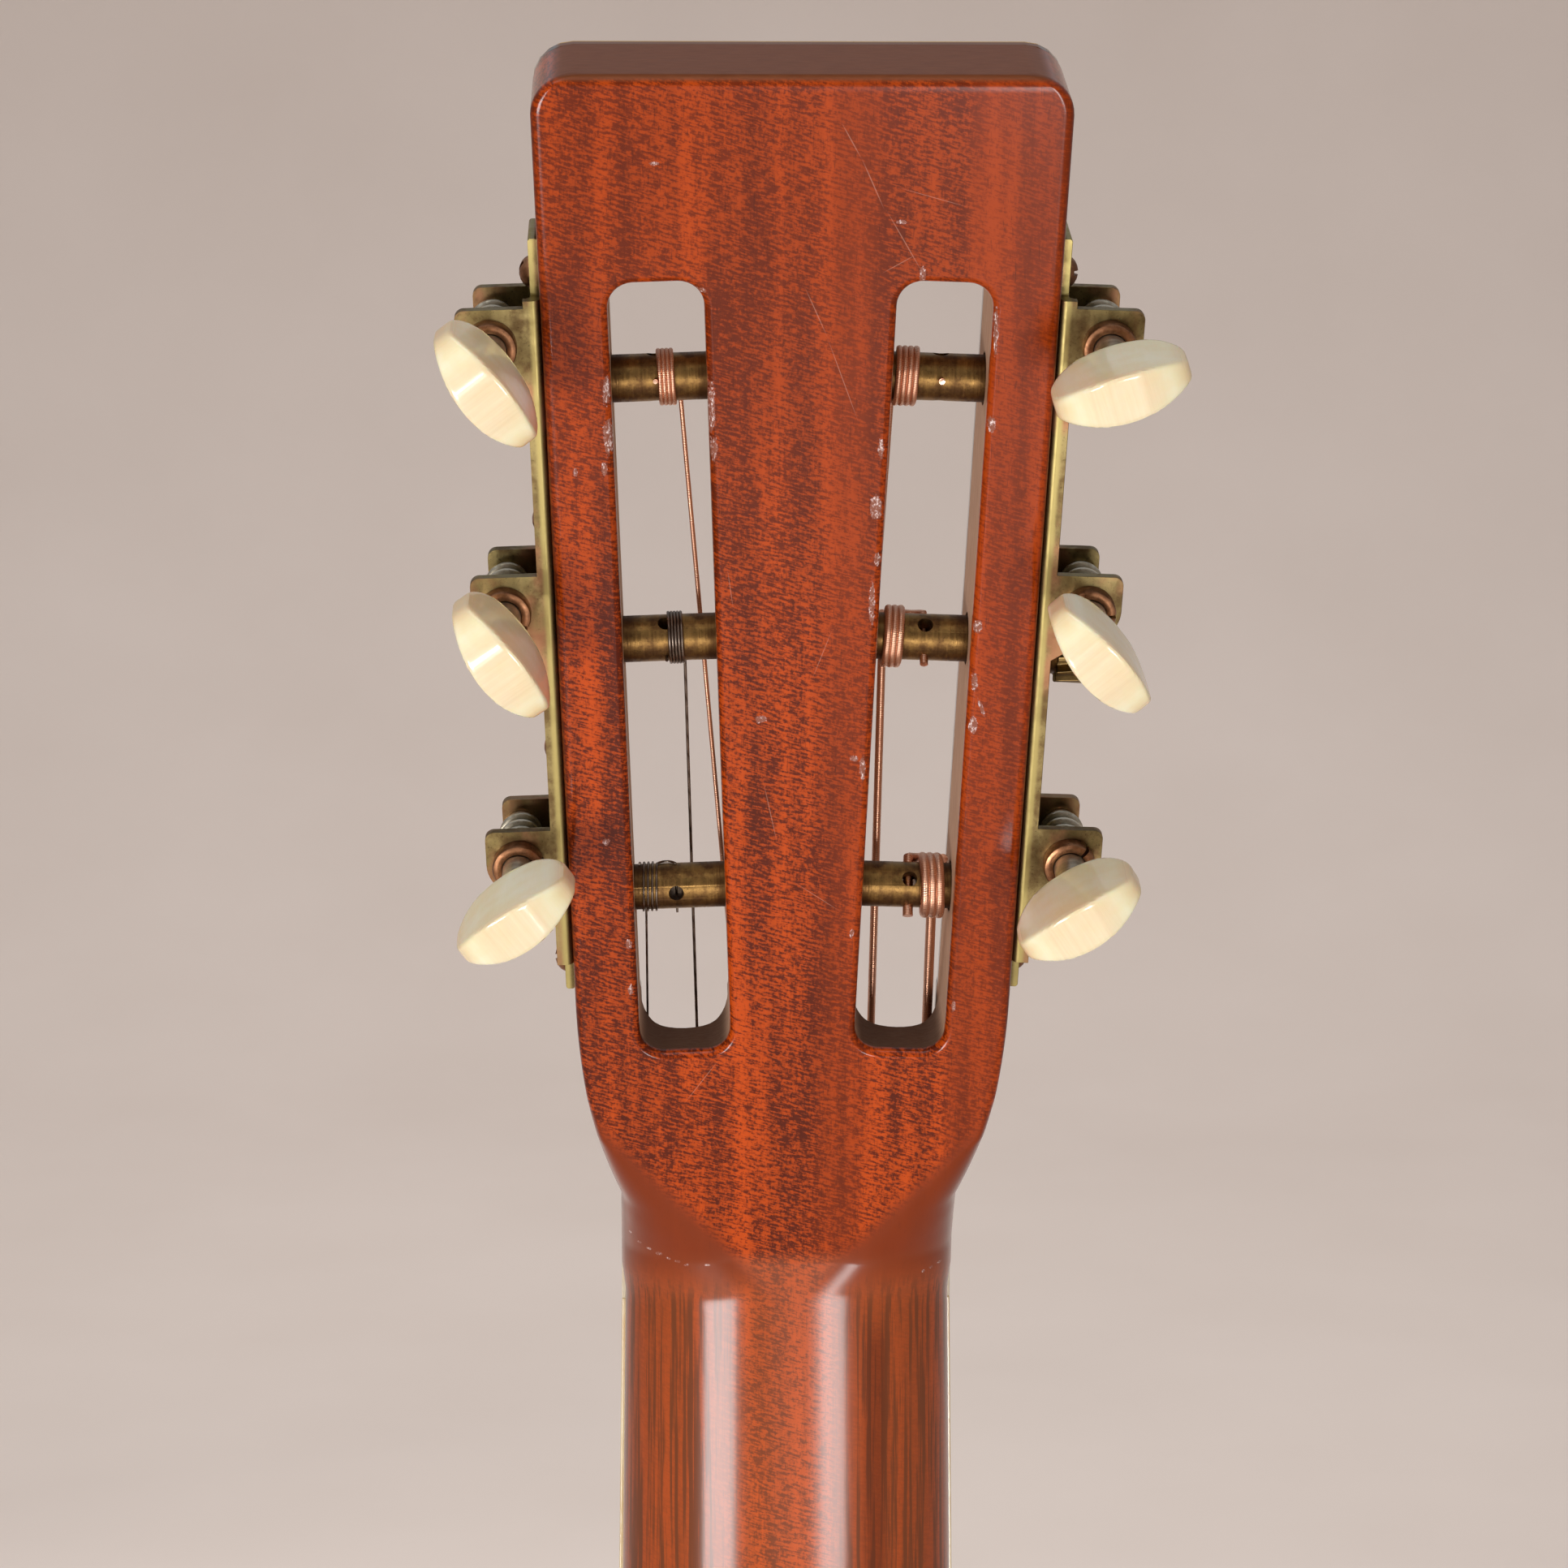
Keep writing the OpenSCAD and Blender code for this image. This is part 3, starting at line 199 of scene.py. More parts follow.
# %% [markdown]
# ## Neck and headstock, one piece of mahogany
# A neck is carved from one blank. Its section changes all the way: a slab with eased edges at the
# headstock, a rounded C along the shaft, and a deep narrow heel. Lofting many thin rings through
# those sections gives one continuous skin, and the crease where the flat back of the headstock
# runs out into the round shaft comes by itself. The slots are cut afterwards with a cutter whose
# mouth flares like a rounding bit, so their edges come out rounded as well.

# %% Sections of the neck
NUT_HALF, JOINT_HALF, NECK_T, SWELL = 22.8, 27.2, 17.0, 2.0
BREAK_Z = -(NECK_T * math.cos(HEAD_TILT) - HEAD_THICK) / math.sin(HEAD_TILT)
NUT_Z = BREAK_Z - 5.3
SCALE, FRET_COUNT, BOARD_T = 632.0, 19, 6.0
BODY_Z = NUT_Z - SCALE / 2
HEEL_LEN, HEEL_FOOT, HEEL_HALF, DEEP_NECK, CAP_T = 62.0, 14.0, 10.0, 84.0, 2.4
SHOULDER_R, STRAIGHT_S, TIP_R = 110.0, 38.0, 5.0
FACET_W, FACET_RISE = 7.7, 0.93  # the line between the flat back and the scooped facet beside it
ARC_S = STRAIGHT_S + SHOULDER_R * math.sin(FLARE)
ARC_W = HEAD_HALF + STRAIGHT_S * math.tan(FLARE) - SHOULDER_R * math.cos(FLARE)


def edge_half(s):
    if s > STRAIGHT_S:
        return HEAD_HALF + s * math.tan(FLARE)
    return max(NUT_HALF, ARC_W + math.sqrt(SHOULDER_R ** 2 - (s - ARC_S) ** 2))


def outline_half(s):
    into = min(TIP_R, max(0, s - HEAD_LEN + TIP_R))
    return edge_half(min(s, HEAD_LEN - TIP_R)) - TIP_R + math.sqrt(TIP_R ** 2 - into ** 2)


def neck_half(z):
    return NUT_HALF + (JOINT_HALF - NUT_HALF) * (NUT_Z - z) / (NUT_Z - BODY_Z)


def fret_z(n):
    return NUT_Z - SCALE * (1 - 2 ** (-n / 12))


print("the neck meets the body at z", round(BODY_Z, 1), "mm, and fret 12 lies at",
      round(fret_z(12), 1))

# %% [markdown]
# ## Rings of the neck
# Every ring starts and ends at the front face and goes over the back. A power a little under one
# makes its shoulders fuller than a circle, as a carver leaves them. The same function draws the
# slab, the rounded shaft and the heel, so that neighbouring rings always join point to point.

# %% Rings of the neck
SHOULDER_STEPS, FULLNESS = 22, 0.88
EDGE_R = 1.3
BOARD_PROUD = 0.45  # the bound fingerboard stands out past the wood, as a cream line on each side


def section(half, depth, shoulder, flat, narrowing=0.0):
    """One ring of the neck: across and up from the front face, from one side to the other."""
    side = [(half, 0.0)]
    for i in range(SHOULDER_STEPS + 1):
        a = math.pi / 2 * i / SHOULDER_STEPS
        x = flat + (half - flat) * max(0, math.cos(a)) ** FULLNESS
        y = depth - shoulder + shoulder * max(0, math.sin(a)) ** FULLNESS
        side.append((x * (1 - narrowing * y / depth), y))
    return side + [(-x, y) for x, y in reversed(side)]


def head_ring(s):
    shoulder = 1.2 + (HEAD_THICK - 3) * (1 - min(1, s / 24) ** 0.75)
    inset = 0.0
    if s > HEAD_LEN - EDGE_R:
        inset = EDGE_R - math.sqrt(max(0, EDGE_R ** 2 - (s - HEAD_LEN + EDGE_R) ** 2))
    half = outline_half(s) - inset * 0.5
    flat = min(half - 1.4, FACET_W + FACET_RISE * s)
    ring = section(half, HEAD_THICK - inset, shoulder, flat)
    return [head_point(x, y - HEAD_THICK, s) for x, y in ring]


def shaft_ring(z):
    front = max(-NECK_T, -NECK_T + (z - BREAK_Z) * math.tan(HEAD_TILT))
    depth = SWELL * z / (BODY_Z + HEEL_LEN) - front
    half = NUT_HALF if z > BREAK_Z else neck_half(z)
    half -= BOARD_PROUD * min(1, max(0, (BREAK_Z - z) / 3))
    ring = section(half, depth, depth * 0.94, max(2, FACET_W + z))
    return [Vector((x, front + y, z)) * MM for x, y in ring]


def heel_ring(z):
    run = min(1, max(0, (BODY_Z + HEEL_LEN - z) / (HEEL_LEN - HEEL_FOOT)))
    grow = 1 - math.sqrt(max(0, 1 - run * run))
    start = NECK_T + SWELL
    depth = start + (DEEP_NECK - CAP_T - start) * grow
    flat = 2 + (JOINT_HALF * 0.8 - 2) * grow ** 2
    ring = section(neck_half(z) - BOARD_PROUD, depth, depth * (0.94 - 0.74 * math.sqrt(grow)), flat,
                   (1 - HEEL_HALF / JOINT_HALF) * grow)
    return [Vector((x, y - NECK_T, z)) * MM for x, y in ring]


print("a ring has", len(head_ring(50)), "points")

# %% [markdown]
# ## The neck's skin
# The rings stand close together where the form changes fast, at the rounded tip, at the crease and
# in the sweep of the heel, and far apart on the straight shaft. A few rings with a subdivision on
# top would be lighter, but they would round the crease away.

# %% Loft the neck
def steps(a, b, count):
    return [a + (b - a) * i / count for i in range(count + 1)]


tip_curve = [HEAD_LEN - TIP_R * (1 - math.cos(math.pi / 2 * i / 10)) for i in range(11)]
head_stations = tip_curve + [140, 120, 100, 80, 60] + steps(40, 2, 38)
heel_stations = [BODY_Z + HEEL_FOOT + (HEEL_LEN - HEEL_FOOT) * (1 - math.sin(math.pi / 2 * i / 24))
                 for i in range(25)]
rings = [head_ring(s) for s in head_stations]
rings += [shaft_ring(z) for z in steps(0, -30, 30) + steps(-36, -250, 30)]
rings += [heel_ring(z) for z in heel_stations + [BODY_Z]]
neck_wood = loft("neck_wood", rings)
print("neck lofted through", len(rings), "sections")

# %% [markdown]
# ## Slots, string channels and roller holes
# On the bench these are made with a router and a drill. Here each tool's path is a closed solid,
# and a Boolean takes them out of the neck in turn. The exact solver is used, because it leaves no
# holes where two cutters meet.

# %% Cut the slots and the roller holes
def cut(obj, *cutters):
    """Take the cutters out of obj, one after the other."""
    for cutter in cutters:
        boolean = obj.modifiers.new("cut", "BOOLEAN")
        boolean.object = cutter
        boolean.solver = "EXACT"
        bake(obj)
        bpy.data.objects.remove(cutter)
    return obj


def rounded_rectangle(x0, y0, x1, y1, r, grow, arc=8):
    """Points round a rectangle with round corners, pushed outwards by grow."""
    points = []
    corners = [(x1 - r, y1 - r, 0), (x0 + r, y1 - r, 90),
               (x0 + r, y0 + r, 180), (x1 - r, y0 + r, 270)]
    for cx, cy, start in corners:
        for i in range(arc + 1):
            a = math.radians(start + 90 * i / arc)
            points.append((cx + (r + grow) * math.cos(a), cy + (r + grow) * math.sin(a)))
    return points


def slot_cutter(side, mouth_r=1.1):
    """A prism through the headstock with a mouth that flares out at the back face."""
    to_row = edge_matrix(side)
    levels = [(4, mouth_r)]
    for i in range(7):
        a = math.pi / 2 * i / 6
        levels.append((0.02 - mouth_r * (1 - math.cos(a)), mouth_r * (1 - math.sin(a))))
    levels.append((-HEAD_THICK - 4, 0))
    rings = []
    for h, grow in levels:
        flat = rounded_rectangle(-RAIL - SLOT_W, SLOT_LOW, -RAIL, SLOT_HIGH, SLOT_R, grow)
        rings.append([to_row @ Vector((x, h, up)) for x, up in flat])
    return loft("slot cutter", rings)


def ramp_cutter(side, lip=7.0, slope=0.6, arc=16):
    """A round channel, cut by a round-nosed bit, that lets the strings dip from the nut."""
    to_row = edge_matrix(side)
    radius, deep = SLOT_W / 2 - 0.12, HEAD_THICK + VENEER + 3
    rings = []
    for up, top in ((SLOT_LOW + SLOT_R + 0.6, -lip), (SLOT_LOW + 0.4, -lip),
                    (SLOT_LOW - (deep - lip) / slope, -deep)):
        ring = [(-radius, -deep - 12), (radius, -deep - 12)]
        for i in range(arc + 1):
            a = math.pi * i / arc
            ring.append((radius * math.cos(a), top - radius + radius * math.sin(a)))
        rings.append([to_row @ Vector((x - RAIL - SLOT_W / 2, h, up)) for x, h in ring])
    return loft("ramp cutter", rings)


def round_bar(matrix, x0, x1, radius, sides=40):
    """A straight bar along the matrix's x axis."""
    rings = [[matrix @ Vector((x, radius * math.cos(2 * math.pi * i / sides),
                               radius * math.sin(2 * math.pi * i / sides))) for i in range(sides)]
             for x in (x0, x1)]
    return loft("bar", rings)


ROLLER_HOLE_R = 3.4
cutters = [maker(side) for side in (1, -1) for maker in (slot_cutter, ramp_cutter)]
for n in range(1, 7):
    cutters.append(round_bar(roller_matrix(n), -RAIL - 1, 1, ROLLER_HOLE_R))
cut(neck_wood, *cutters)
smooth(neck_wood)
print("neck wood:", len(neck_wood.data.polygons), "faces")

# %% [markdown]
# ## Pieces that the solids already describe well
# The veneer, nut, fingerboard, saddle, bridge and tuner plates are flat stock with cut edges.
# Their exact solids have the right shape, and a real one differs only by its broken edges. So one
# helper joins a solid's loose triangles and rounds its edges. Nothing real has a perfectly sharp
# edge, and the round edge is what catches the light.

# %% Stock with broken edges
def own_frame(obj, matrix):
    """Own places from a frame whose matrix turns millimetres into the guitar's metres."""
    back = matrix.inverted()
    keep_own(obj.data, [back @ v.co for v in obj.data.vertices])
    return obj


def merged_copy(node, name):
    """A copy of an exact solid with its loose triangles joined."""
    obj = bpy.data.objects.new(name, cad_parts[node].data.copy())
    bpy.context.scene.collection.objects.link(obj)
    obj.data.materials.clear()
    bm = bmesh.new()
    bm.from_mesh(obj.data)
    bmesh.ops.remove_doubles(bm, verts=bm.verts, dist=3e-6)
    bmesh.ops.dissolve_limit(bm, angle_limit=math.radians(0.5), verts=bm.verts, edges=bm.edges)
    bm.to_mesh(obj.data)
    bm.free()
    return obj


def softened(node, width, name, angle=32):
    """An exact solid with its edges rounded by width, in millimetres."""
    obj = merged_copy(node, name)
    bevel = obj.modifiers.new("round edges", "BEVEL")
    bevel.width = width * MM
    bevel.segments = 2
    bevel.limit_method = "ANGLE"
    bevel.angle_limit = math.radians(angle)
    bake(obj)
    return smooth(obj)


headplate = softened("headplate", 0.35, "head_veneer_plate")
nut = softened("nut", 0.3, "nut_bone")
fingerboard = softened("fingerboard", 0.12, "fingerboard_wood")
board_binding = softened("fingerboard_binding", 0.2, "fingerboard_edge")
heel_cap = softened("heel_cap", 0.3, "heel_cap_wood")
saddle = softened("saddle", 0.5, "saddle_bone")
bridge = softened("bridge", 0.6, "bridge_wood")
bridge_pins = softened("bridge_pins", 0.12, "bridge_pins_turned")
end_pin = softened("end_pin", 0.25, "end_pin_turned")
plates = [own_frame(softened("tuner_plate_" + name, 0.22, "plate_" + name), edge_matrix(side))
          for name, side in (("bass", -1), ("treble", 1))]
print("the veneer has", len(headplate.data.polygons), "faces, a tuner plate",
      len(plates[0].data.polygons))

# %% [markdown]
# ## Worms
# A worm is one turned bar with a helical thread. Seen as a surface it is a radius that depends on
# the angle and on the place along the bar, so a grid of rings with that radius gives the thread,
# its run-out at both ends and the plain shaft in one skin. A screw modifier would leave open ends.

# %% Worms
TOOTH_PITCH, CORE_R, THREAD_R, THREAD_LEN = 2.154, 1.55, 2.8, 9.6
SHAFT_R, PIVOT_R, EAR_GAP, EAR_T = 2.1, 1.4, 11.2, 1.3
BUTTON_OUT, BUTTON_H = 13.9, 12.5
SHAFT_END = ROLLER_DEEP + BUTTON_OUT - BUTTON_H / 2 + 8


def thread_radius(angle, z):
    """Radius of the worm at an angle in degrees and a place z along it."""
    off = ((angle - 90) / 360 * TOOTH_PITCH - z) % TOOTH_PITCH
    off = min(off, TOOTH_PITCH - off)
    rise = min(1, max(0, (0.66 - off) / 0.38))
    fade = min(1, max(0, (THREAD_LEN / 2 - abs(z)) / 0.8))
    return CORE_R + (THREAD_R - CORE_R) * fade * rise * rise * (3 - 2 * rise)


def worm_piece(n, around=36):
    to_row = roller_matrix(n) @ Matrix.Translation((WORM_OUT, 0, WORM_UP))
    plain = [(-6.9, PIVOT_R - 0.2), (-6.75, PIVOT_R), (-5.6, PIVOT_R), (-5.5, SHAFT_R),
             (-4.9, SHAFT_R)]
    levels = [(z, [r] * around) for z, r in plain]
    for z in steps(-THREAD_LEN / 2, THREAD_LEN / 2, 84):
        levels.append((z, [thread_radius(360 * j / around, z) for j in range(around)]))
    for z, r in [(4.9, SHAFT_R), (10, SHAFT_R), (SHAFT_END - 0.3, SHAFT_R),
                 (SHAFT_END, SHAFT_R - 0.3)]:
        levels.append((z, [r] * around))
    rings = []
    for z, radii in levels:
        rings.append([to_row @ Vector((r * math.cos(2 * math.pi * j / around), z,
                                       -r * math.sin(2 * math.pi * j / around)))
                      for j, r in enumerate(radii)])
    return own_frame(smooth(loft(f"worm_turned_{n}", rings), 40), to_row)


worms = {n: worm_piece(n) for n in range(1, 7)}
print("worm 1:", len(worms[1].data.polygons), "faces")

# %% [markdown]
# ## Bushes
# The bush is a strip of copper rolled into a ring and pressed into the ear, so a fine split shows
# in each. Its profile goes round the worm's shaft and stops short of a full turn. A screw modifier
# could turn it too, but the loft also closes the two cut faces at the split.

# %% Bushes
def split_ring(name, matrix, profile, split, gap=9, around=48):
    """A ring from a closed profile of (radius, height) points, with a gap at split, in degrees."""
    rings = []
    for j in range(around + 1):
        a = math.radians(split + gap / 2) + math.radians(360 - gap) * j / around
        rings.append([matrix @ Vector((r * math.cos(a), h, r * math.sin(a))) for r, h in profile])
    return loft(name, rings)


BUSH_R, BUSH_H, BUSH_IN = 3.4, 1.9, SHAFT_R + 0.05
BUSH_TOP = EAR_T + BUSH_H
bush_profile = [(BUSH_IN, 0), (BUSH_R - 0.5, 0), (BUSH_R - 0.5, EAR_T), (BUSH_R - 0.1, EAR_T),
                (BUSH_R, EAR_T + 0.1), (BUSH_R, BUSH_TOP - 0.5), (BUSH_R - 0.15, BUSH_TOP - 0.15),
                (BUSH_R - 0.5, BUSH_TOP), (SHAFT_R + 0.35, BUSH_TOP),
                (SHAFT_R + 0.1, BUSH_TOP - 0.12), (BUSH_IN, BUSH_TOP - 0.4)]
bushes = []
for n in range(1, 7):
    at = roller_matrix(n) @ Matrix.Translation((WORM_OUT, EAR_GAP / 2, WORM_UP))
    bush = split_ring("ear_bushes" if n == 1 else "more", at, bush_profile, 110 + 50 * n)
    bushes.append(smooth(bush, 40))
print(len(bushes), "bushes, each split like a pressed ring")

# %% [markdown]
# ## Gears and rollers
# The gear is a plain cut wheel and the roller a plain bar with a hole across it. Their solids have
# all that, so they only get broken edges. The roller's edges are rounder, because strings have
# worn them.

# %% Gears and rollers
gears = {n: own_frame(softened(f"gear_{n}", 0.12, f"gear_cut_{n}", angle=28), roller_matrix(n))
         for n in range(1, 7)}
posts = {n: own_frame(softened(f"post_{n}", 0.25, f"string_roller_{n}"), roller_matrix(n))
         for n in range(1, 7)}
print("gear 1:", len(gears[1].data.polygons), "faces, roller 1:", len(posts[1].data.polygons))

# %% [markdown]
# ## Buttons
# A button is the space where a lens and a rounded oval overlap, with soft ridges where they meet.
# Both shapes are written as distances, a smooth maximum joins them, and a ray from the middle
# finds the surface in every direction. The result is one smooth skin with no seams.

# %% Buttons
BUTTON_W, BUTTON_T, BUTTON_TIP = 17.2, 6.1, 2.3
BUTTON_TURN = [-33, 56, 54, 20, -46, 35]


def smooth_max(a, b, soft):
    h = max(soft - abs(a - b), 0) / soft
    return max(a, b) + h * h * soft / 4


def button_distance(x, y, z):
    """Below zero inside the button. x along, y outwards, z through its thickness."""
    half, rise = BUTTON_W / 2, (BUTTON_T - BUTTON_TIP) / 2
    r = (half * half + rise * rise) / (2 * rise)
    lens = smooth_max(math.hypot(x, z - BUTTON_T / 2 + r) - r,
                      math.hypot(x, z - r + BUTTON_T / 2) - r, 0.5)
    lens = smooth_max(lens, abs(x) - half, 0.35)
    corner = BUTTON_H * 0.42
    qx, qy = abs(x) - half + corner, abs(y) - BUTTON_H / 2 + corner
    oval = math.hypot(max(qx, 0), max(qy, 0)) + min(max(qx, qy), 0) - corner
    arc = (half * half + BUTTON_H ** 2 / 4) / BUTTON_H * 1.25
    oval = smooth_max(oval, math.hypot(x, y - BUTTON_H / 2 + arc) - arc, 0.6)
    return smooth_max(lens, oval, 0.5)


def button_reach(ray, far=14.0, halvings=22):
    """How far a ray from the button's middle goes before it leaves the button."""
    low, high = 0.0, far
    for _ in range(halvings):
        mid = (low + high) / 2
        if button_distance(*(ray * mid)) > 0:
            high = mid
        else:
            low = mid
    return low


def button_piece(n, around=96, rows=64, flatten=0.45):
    to_row = (roller_matrix(n) @ Matrix.Translation((WORM_OUT, ROLLER_DEEP + BUTTON_OUT, WORM_UP))
              @ Matrix.Rotation(-math.radians(BUTTON_TURN[n - 1]), 4, "Y"))
    rings = []
    for i in range(rows + 1):
        tilt = math.pi * (i + 0.02) / (rows + 0.04)
        ring = []
        for j in range(around):
            a = 2 * math.pi * j / around
            ray = Vector((math.cos(a) * math.sin(tilt), math.cos(tilt),
                          flatten * math.sin(a) * math.sin(tilt)))
            ring.append(to_row @ (ray * button_reach(ray)))
        rings.append(ring)
    return own_frame(smooth(loft(f"button_cap_{n}", rings), 32), to_row)


buttons = {n: button_piece(n) for n in range(1, 7)}
print("button 1:", len(buttons[1].data.polygons), "faces")

# %% [markdown]
# ## Geometry Nodes: a piece at every place
# Screws and frets repeat. One node group puts an object at each point of a small mesh and reads
# its turn and its stretch from that mesh, so the places stay plain numbers. It ends by making the
# copies real and setting their material, and the finished mesh replaces the points.

# %% Node group shared steps
def new_group(name, inputs):
    group = bpy.data.node_groups.new(name, "GeometryNodeTree")
    group.interface.new_socket("Geometry", in_out="OUTPUT", socket_type="NodeSocketGeometry")
    group.interface.new_socket("Geometry", in_out="INPUT", socket_type="NodeSocketGeometry")
    for label, kind in inputs:
        group.interface.new_socket(label, in_out="INPUT", socket_type="NodeSocket" + kind)
    return group, group.nodes.new("NodeGroupInput"), group.nodes.new("NodeGroupOutput")


def finish_group(group, geometry, enter, leave):
    """The last two steps that every group here shares."""
    realize = group.nodes.new("GeometryNodeRealizeInstances")
    coat = group.nodes.new("GeometryNodeSetMaterial")
    group.links.new(geometry, realize.inputs[0])
    group.links.new(realize.outputs[0], coat.inputs["Geometry"])
    group.links.new(enter.outputs["Material"], coat.inputs["Material"])
    group.links.new(coat.outputs[0], leave.inputs[0])


def build_repeat_group():
    group, enter, leave = new_group("piece at every point",
                                    [("Piece", "Object"), ("Material", "Material")])
    info = group.nodes.new("GeometryNodeObjectInfo")
    spread = group.nodes.new("GeometryNodeInstanceOnPoints")
    turn = group.nodes.new("GeometryNodeInputNamedAttribute")
    stretch = group.nodes.new("GeometryNodeInputNamedAttribute")
    for node, label in ((turn, "turn"), (stretch, "stretch")):
        node.data_type = "FLOAT_VECTOR"
        node.inputs["Name"].default_value = label
    as_turn = group.nodes.new("FunctionNodeEulerToRotation")
    group.links.new(enter.outputs["Geometry"], spread.inputs["Points"])
    group.links.new(enter.outputs["Piece"], info.inputs["Object"])
    group.links.new(info.outputs["Geometry"], spread.inputs["Instance"])
    group.links.new(turn.outputs["Attribute"], as_turn.inputs[0])
    group.links.new(as_turn.outputs[0], spread.inputs["Rotation"])
    group.links.new(stretch.outputs["Attribute"], spread.inputs["Scale"])
    finish_group(group, spread.outputs[0], enter, leave)
    return group


repeat_group = build_repeat_group()
print("node group:", repeat_group.name, "with", len(repeat_group.nodes), "nodes")

# %% [markdown]
# ## Running a node group
# A modifier runs the group with its named inputs, and the result is kept as a plain mesh. A curve
# can't hold a mesh, so a new object takes its name. Each place of a repeated piece is one point
# with its turn and its stretch stored beside it.

# %% Run a group and repeat a piece
def run_group(obj, group, values):
    """Run a node group on obj with its named inputs and keep the result as a mesh."""
    modifier = obj.modifiers.new(group.name, "NODES")
    modifier.node_group = group
    for item in group.interface.items_tree:
        if item.item_type == "SOCKET" and item.in_out == "INPUT" and item.name in values:
            modifier[item.identifier] = values[item.name]
    bpy.context.view_layer.update()
    evaluated = obj.evaluated_get(bpy.context.evaluated_depsgraph_get())
    mesh = bpy.data.meshes.new_from_object(evaluated)
    if obj.type == "MESH":
        obj.modifiers.clear()
        obj.data = mesh
        return obj
    made = bpy.data.objects.new(obj.name, mesh)
    bpy.context.scene.collection.objects.link(made)
    name = obj.name
    bpy.data.objects.remove(obj)
    made.name = name
    return made


def repeat(name, piece, places, material):
    """places are (location, euler turn, stretch); piece is used up."""
    mesh = bpy.data.meshes.new(name)
    mesh.from_pydata([tuple(place[0]) for place in places], [], [])
    for label, index in (("turn", 1), ("stretch", 2)):
        values = mesh.attributes.new(label, "FLOAT_VECTOR", "POINT")
        for i, place in enumerate(places):
            values.data[i].vector = tuple(place[index])
    obj = bpy.data.objects.new(name, mesh)
    bpy.context.scene.collection.objects.link(obj)
    run_group(obj, repeat_group, {"Piece": piece, "Material": material})
    bpy.data.objects.remove(piece)
    return obj


print("a repeated piece needs a place, a turn and a stretch")

# %% [markdown]
# ## Geometry Nodes: wire along a path
# A string is a round wire that follows a line of points, and so is each of its turns round a
# roller. The second node group gives a path its thickness and stores how far along and how far
# round each point lies. The materials use that map for the fine wrap wire of the four wound
# strings.

# %% Node group for wires
def build_wire_group():
    group, enter, leave = new_group(
        "wire along a path", [("Radius", "Float"), ("Sides", "Int"), ("Material", "Material")])
    param = group.nodes.new("GeometryNodeSplineParameter")
    keep_length = group.nodes.new("GeometryNodeStoreNamedAttribute")
    keep_length.data_type = "FLOAT"
    keep_length.inputs["Name"].default_value = "along"
    circle = group.nodes.new("GeometryNodeCurvePrimitiveCircle")
    round_param = group.nodes.new("GeometryNodeSplineParameter")
    keep_round = group.nodes.new("GeometryNodeStoreNamedAttribute")
    keep_round.data_type = "FLOAT"
    keep_round.inputs["Name"].default_value = "round"
    sweep = group.nodes.new("GeometryNodeCurveToMesh")
    sweep.inputs["Fill Caps"].default_value = True
    links = group.links
    links.new(enter.outputs["Geometry"], keep_length.inputs["Geometry"])
    links.new(param.outputs["Length"], keep_length.inputs["Value"])
    links.new(enter.outputs["Sides"], circle.inputs["Resolution"])
    links.new(enter.outputs["Radius"], circle.inputs["Radius"])
    links.new(circle.outputs[0], keep_round.inputs["Geometry"])
    links.new(round_param.outputs["Factor"], keep_round.inputs["Value"])
    links.new(keep_length.outputs[0], sweep.inputs["Curve"])
    links.new(keep_round.outputs[0], sweep.inputs["Profile Curve"])
    finish_group(group, sweep.outputs[0], enter, leave)
    return group


def wire(name, path, radius, material, sides=16):
    """A round wire along a path in the guitar's frame. Its radius is in millimetres."""
    curve = bpy.data.curves.new(name, "CURVE")
    curve.dimensions = "3D"
    spline = curve.splines.new("POLY")
    spline.points.add(len(path) - 1)
    for point, place_at in zip(spline.points, path):
        point.co = (*place_at, 1)
    obj = bpy.data.objects.new(name, curve)
    bpy.context.scene.collection.objects.link(obj)
    obj = run_group(obj, wire_group, {"Radius": radius * MM, "Sides": sides, "Material": material})
    obj.data.shade_smooth()
    obj.data.set_sharp_from_angle(angle=math.radians(50))
    return obj


wire_group = build_wire_group()
print("node group:", wire_group.name, "with", len(wire_group.nodes), "nodes")

# %% [markdown]
# ## The body
# The two sides are bent from thin boards round one outline, and the soundboard, back and bindings
# all follow it. Four curves give half of that outline. A point moved inwards along the curve's own
# normal gives the inner outlines, so walls, bindings and rings all keep an even width. The back is
# arched a little, as it is glued to curved braces.

# %% Outline of the body
BODY_LEN, LOWER_W, WAIST_W, UPPER_W, DEEP_TAIL = 498.0, 363.0, 222.0, 252.0, 103.0
TOP_T, BACK_T, SIDE_T, BIND_T, BIND_H = 2.8, 2.5, 2.3, 1.6, 6.0
HOLE_R, ROSETTE_IN, ROSETTE_W, ROSETTE_T = 48.0, 5.0, 9.0, 1.2
HOLE_Z = fret_z(FRET_COUNT) - 7 - HOLE_R
FRONT_Y = -NECK_T
BACK_TILT = math.asin((DEEP_TAIL - DEEP_NECK) / BODY_LEN)
upper, waist, lower = UPPER_W / 2, WAIST_W / 2, LOWER_W / 2
BENDS = [[(30, 0), (upper * 0.72, 0), (upper, -40.32), (upper, -96)],
         [(upper, -96), (upper, -144), (waist, -152), (waist, -200)],
         [(waist, -200), (waist, -258), (lower, -278), (lower, -370)],
         [(lower, -370), (lower, -446), (lower * 0.56, -BODY_LEN), (0, -BODY_LEN)]]


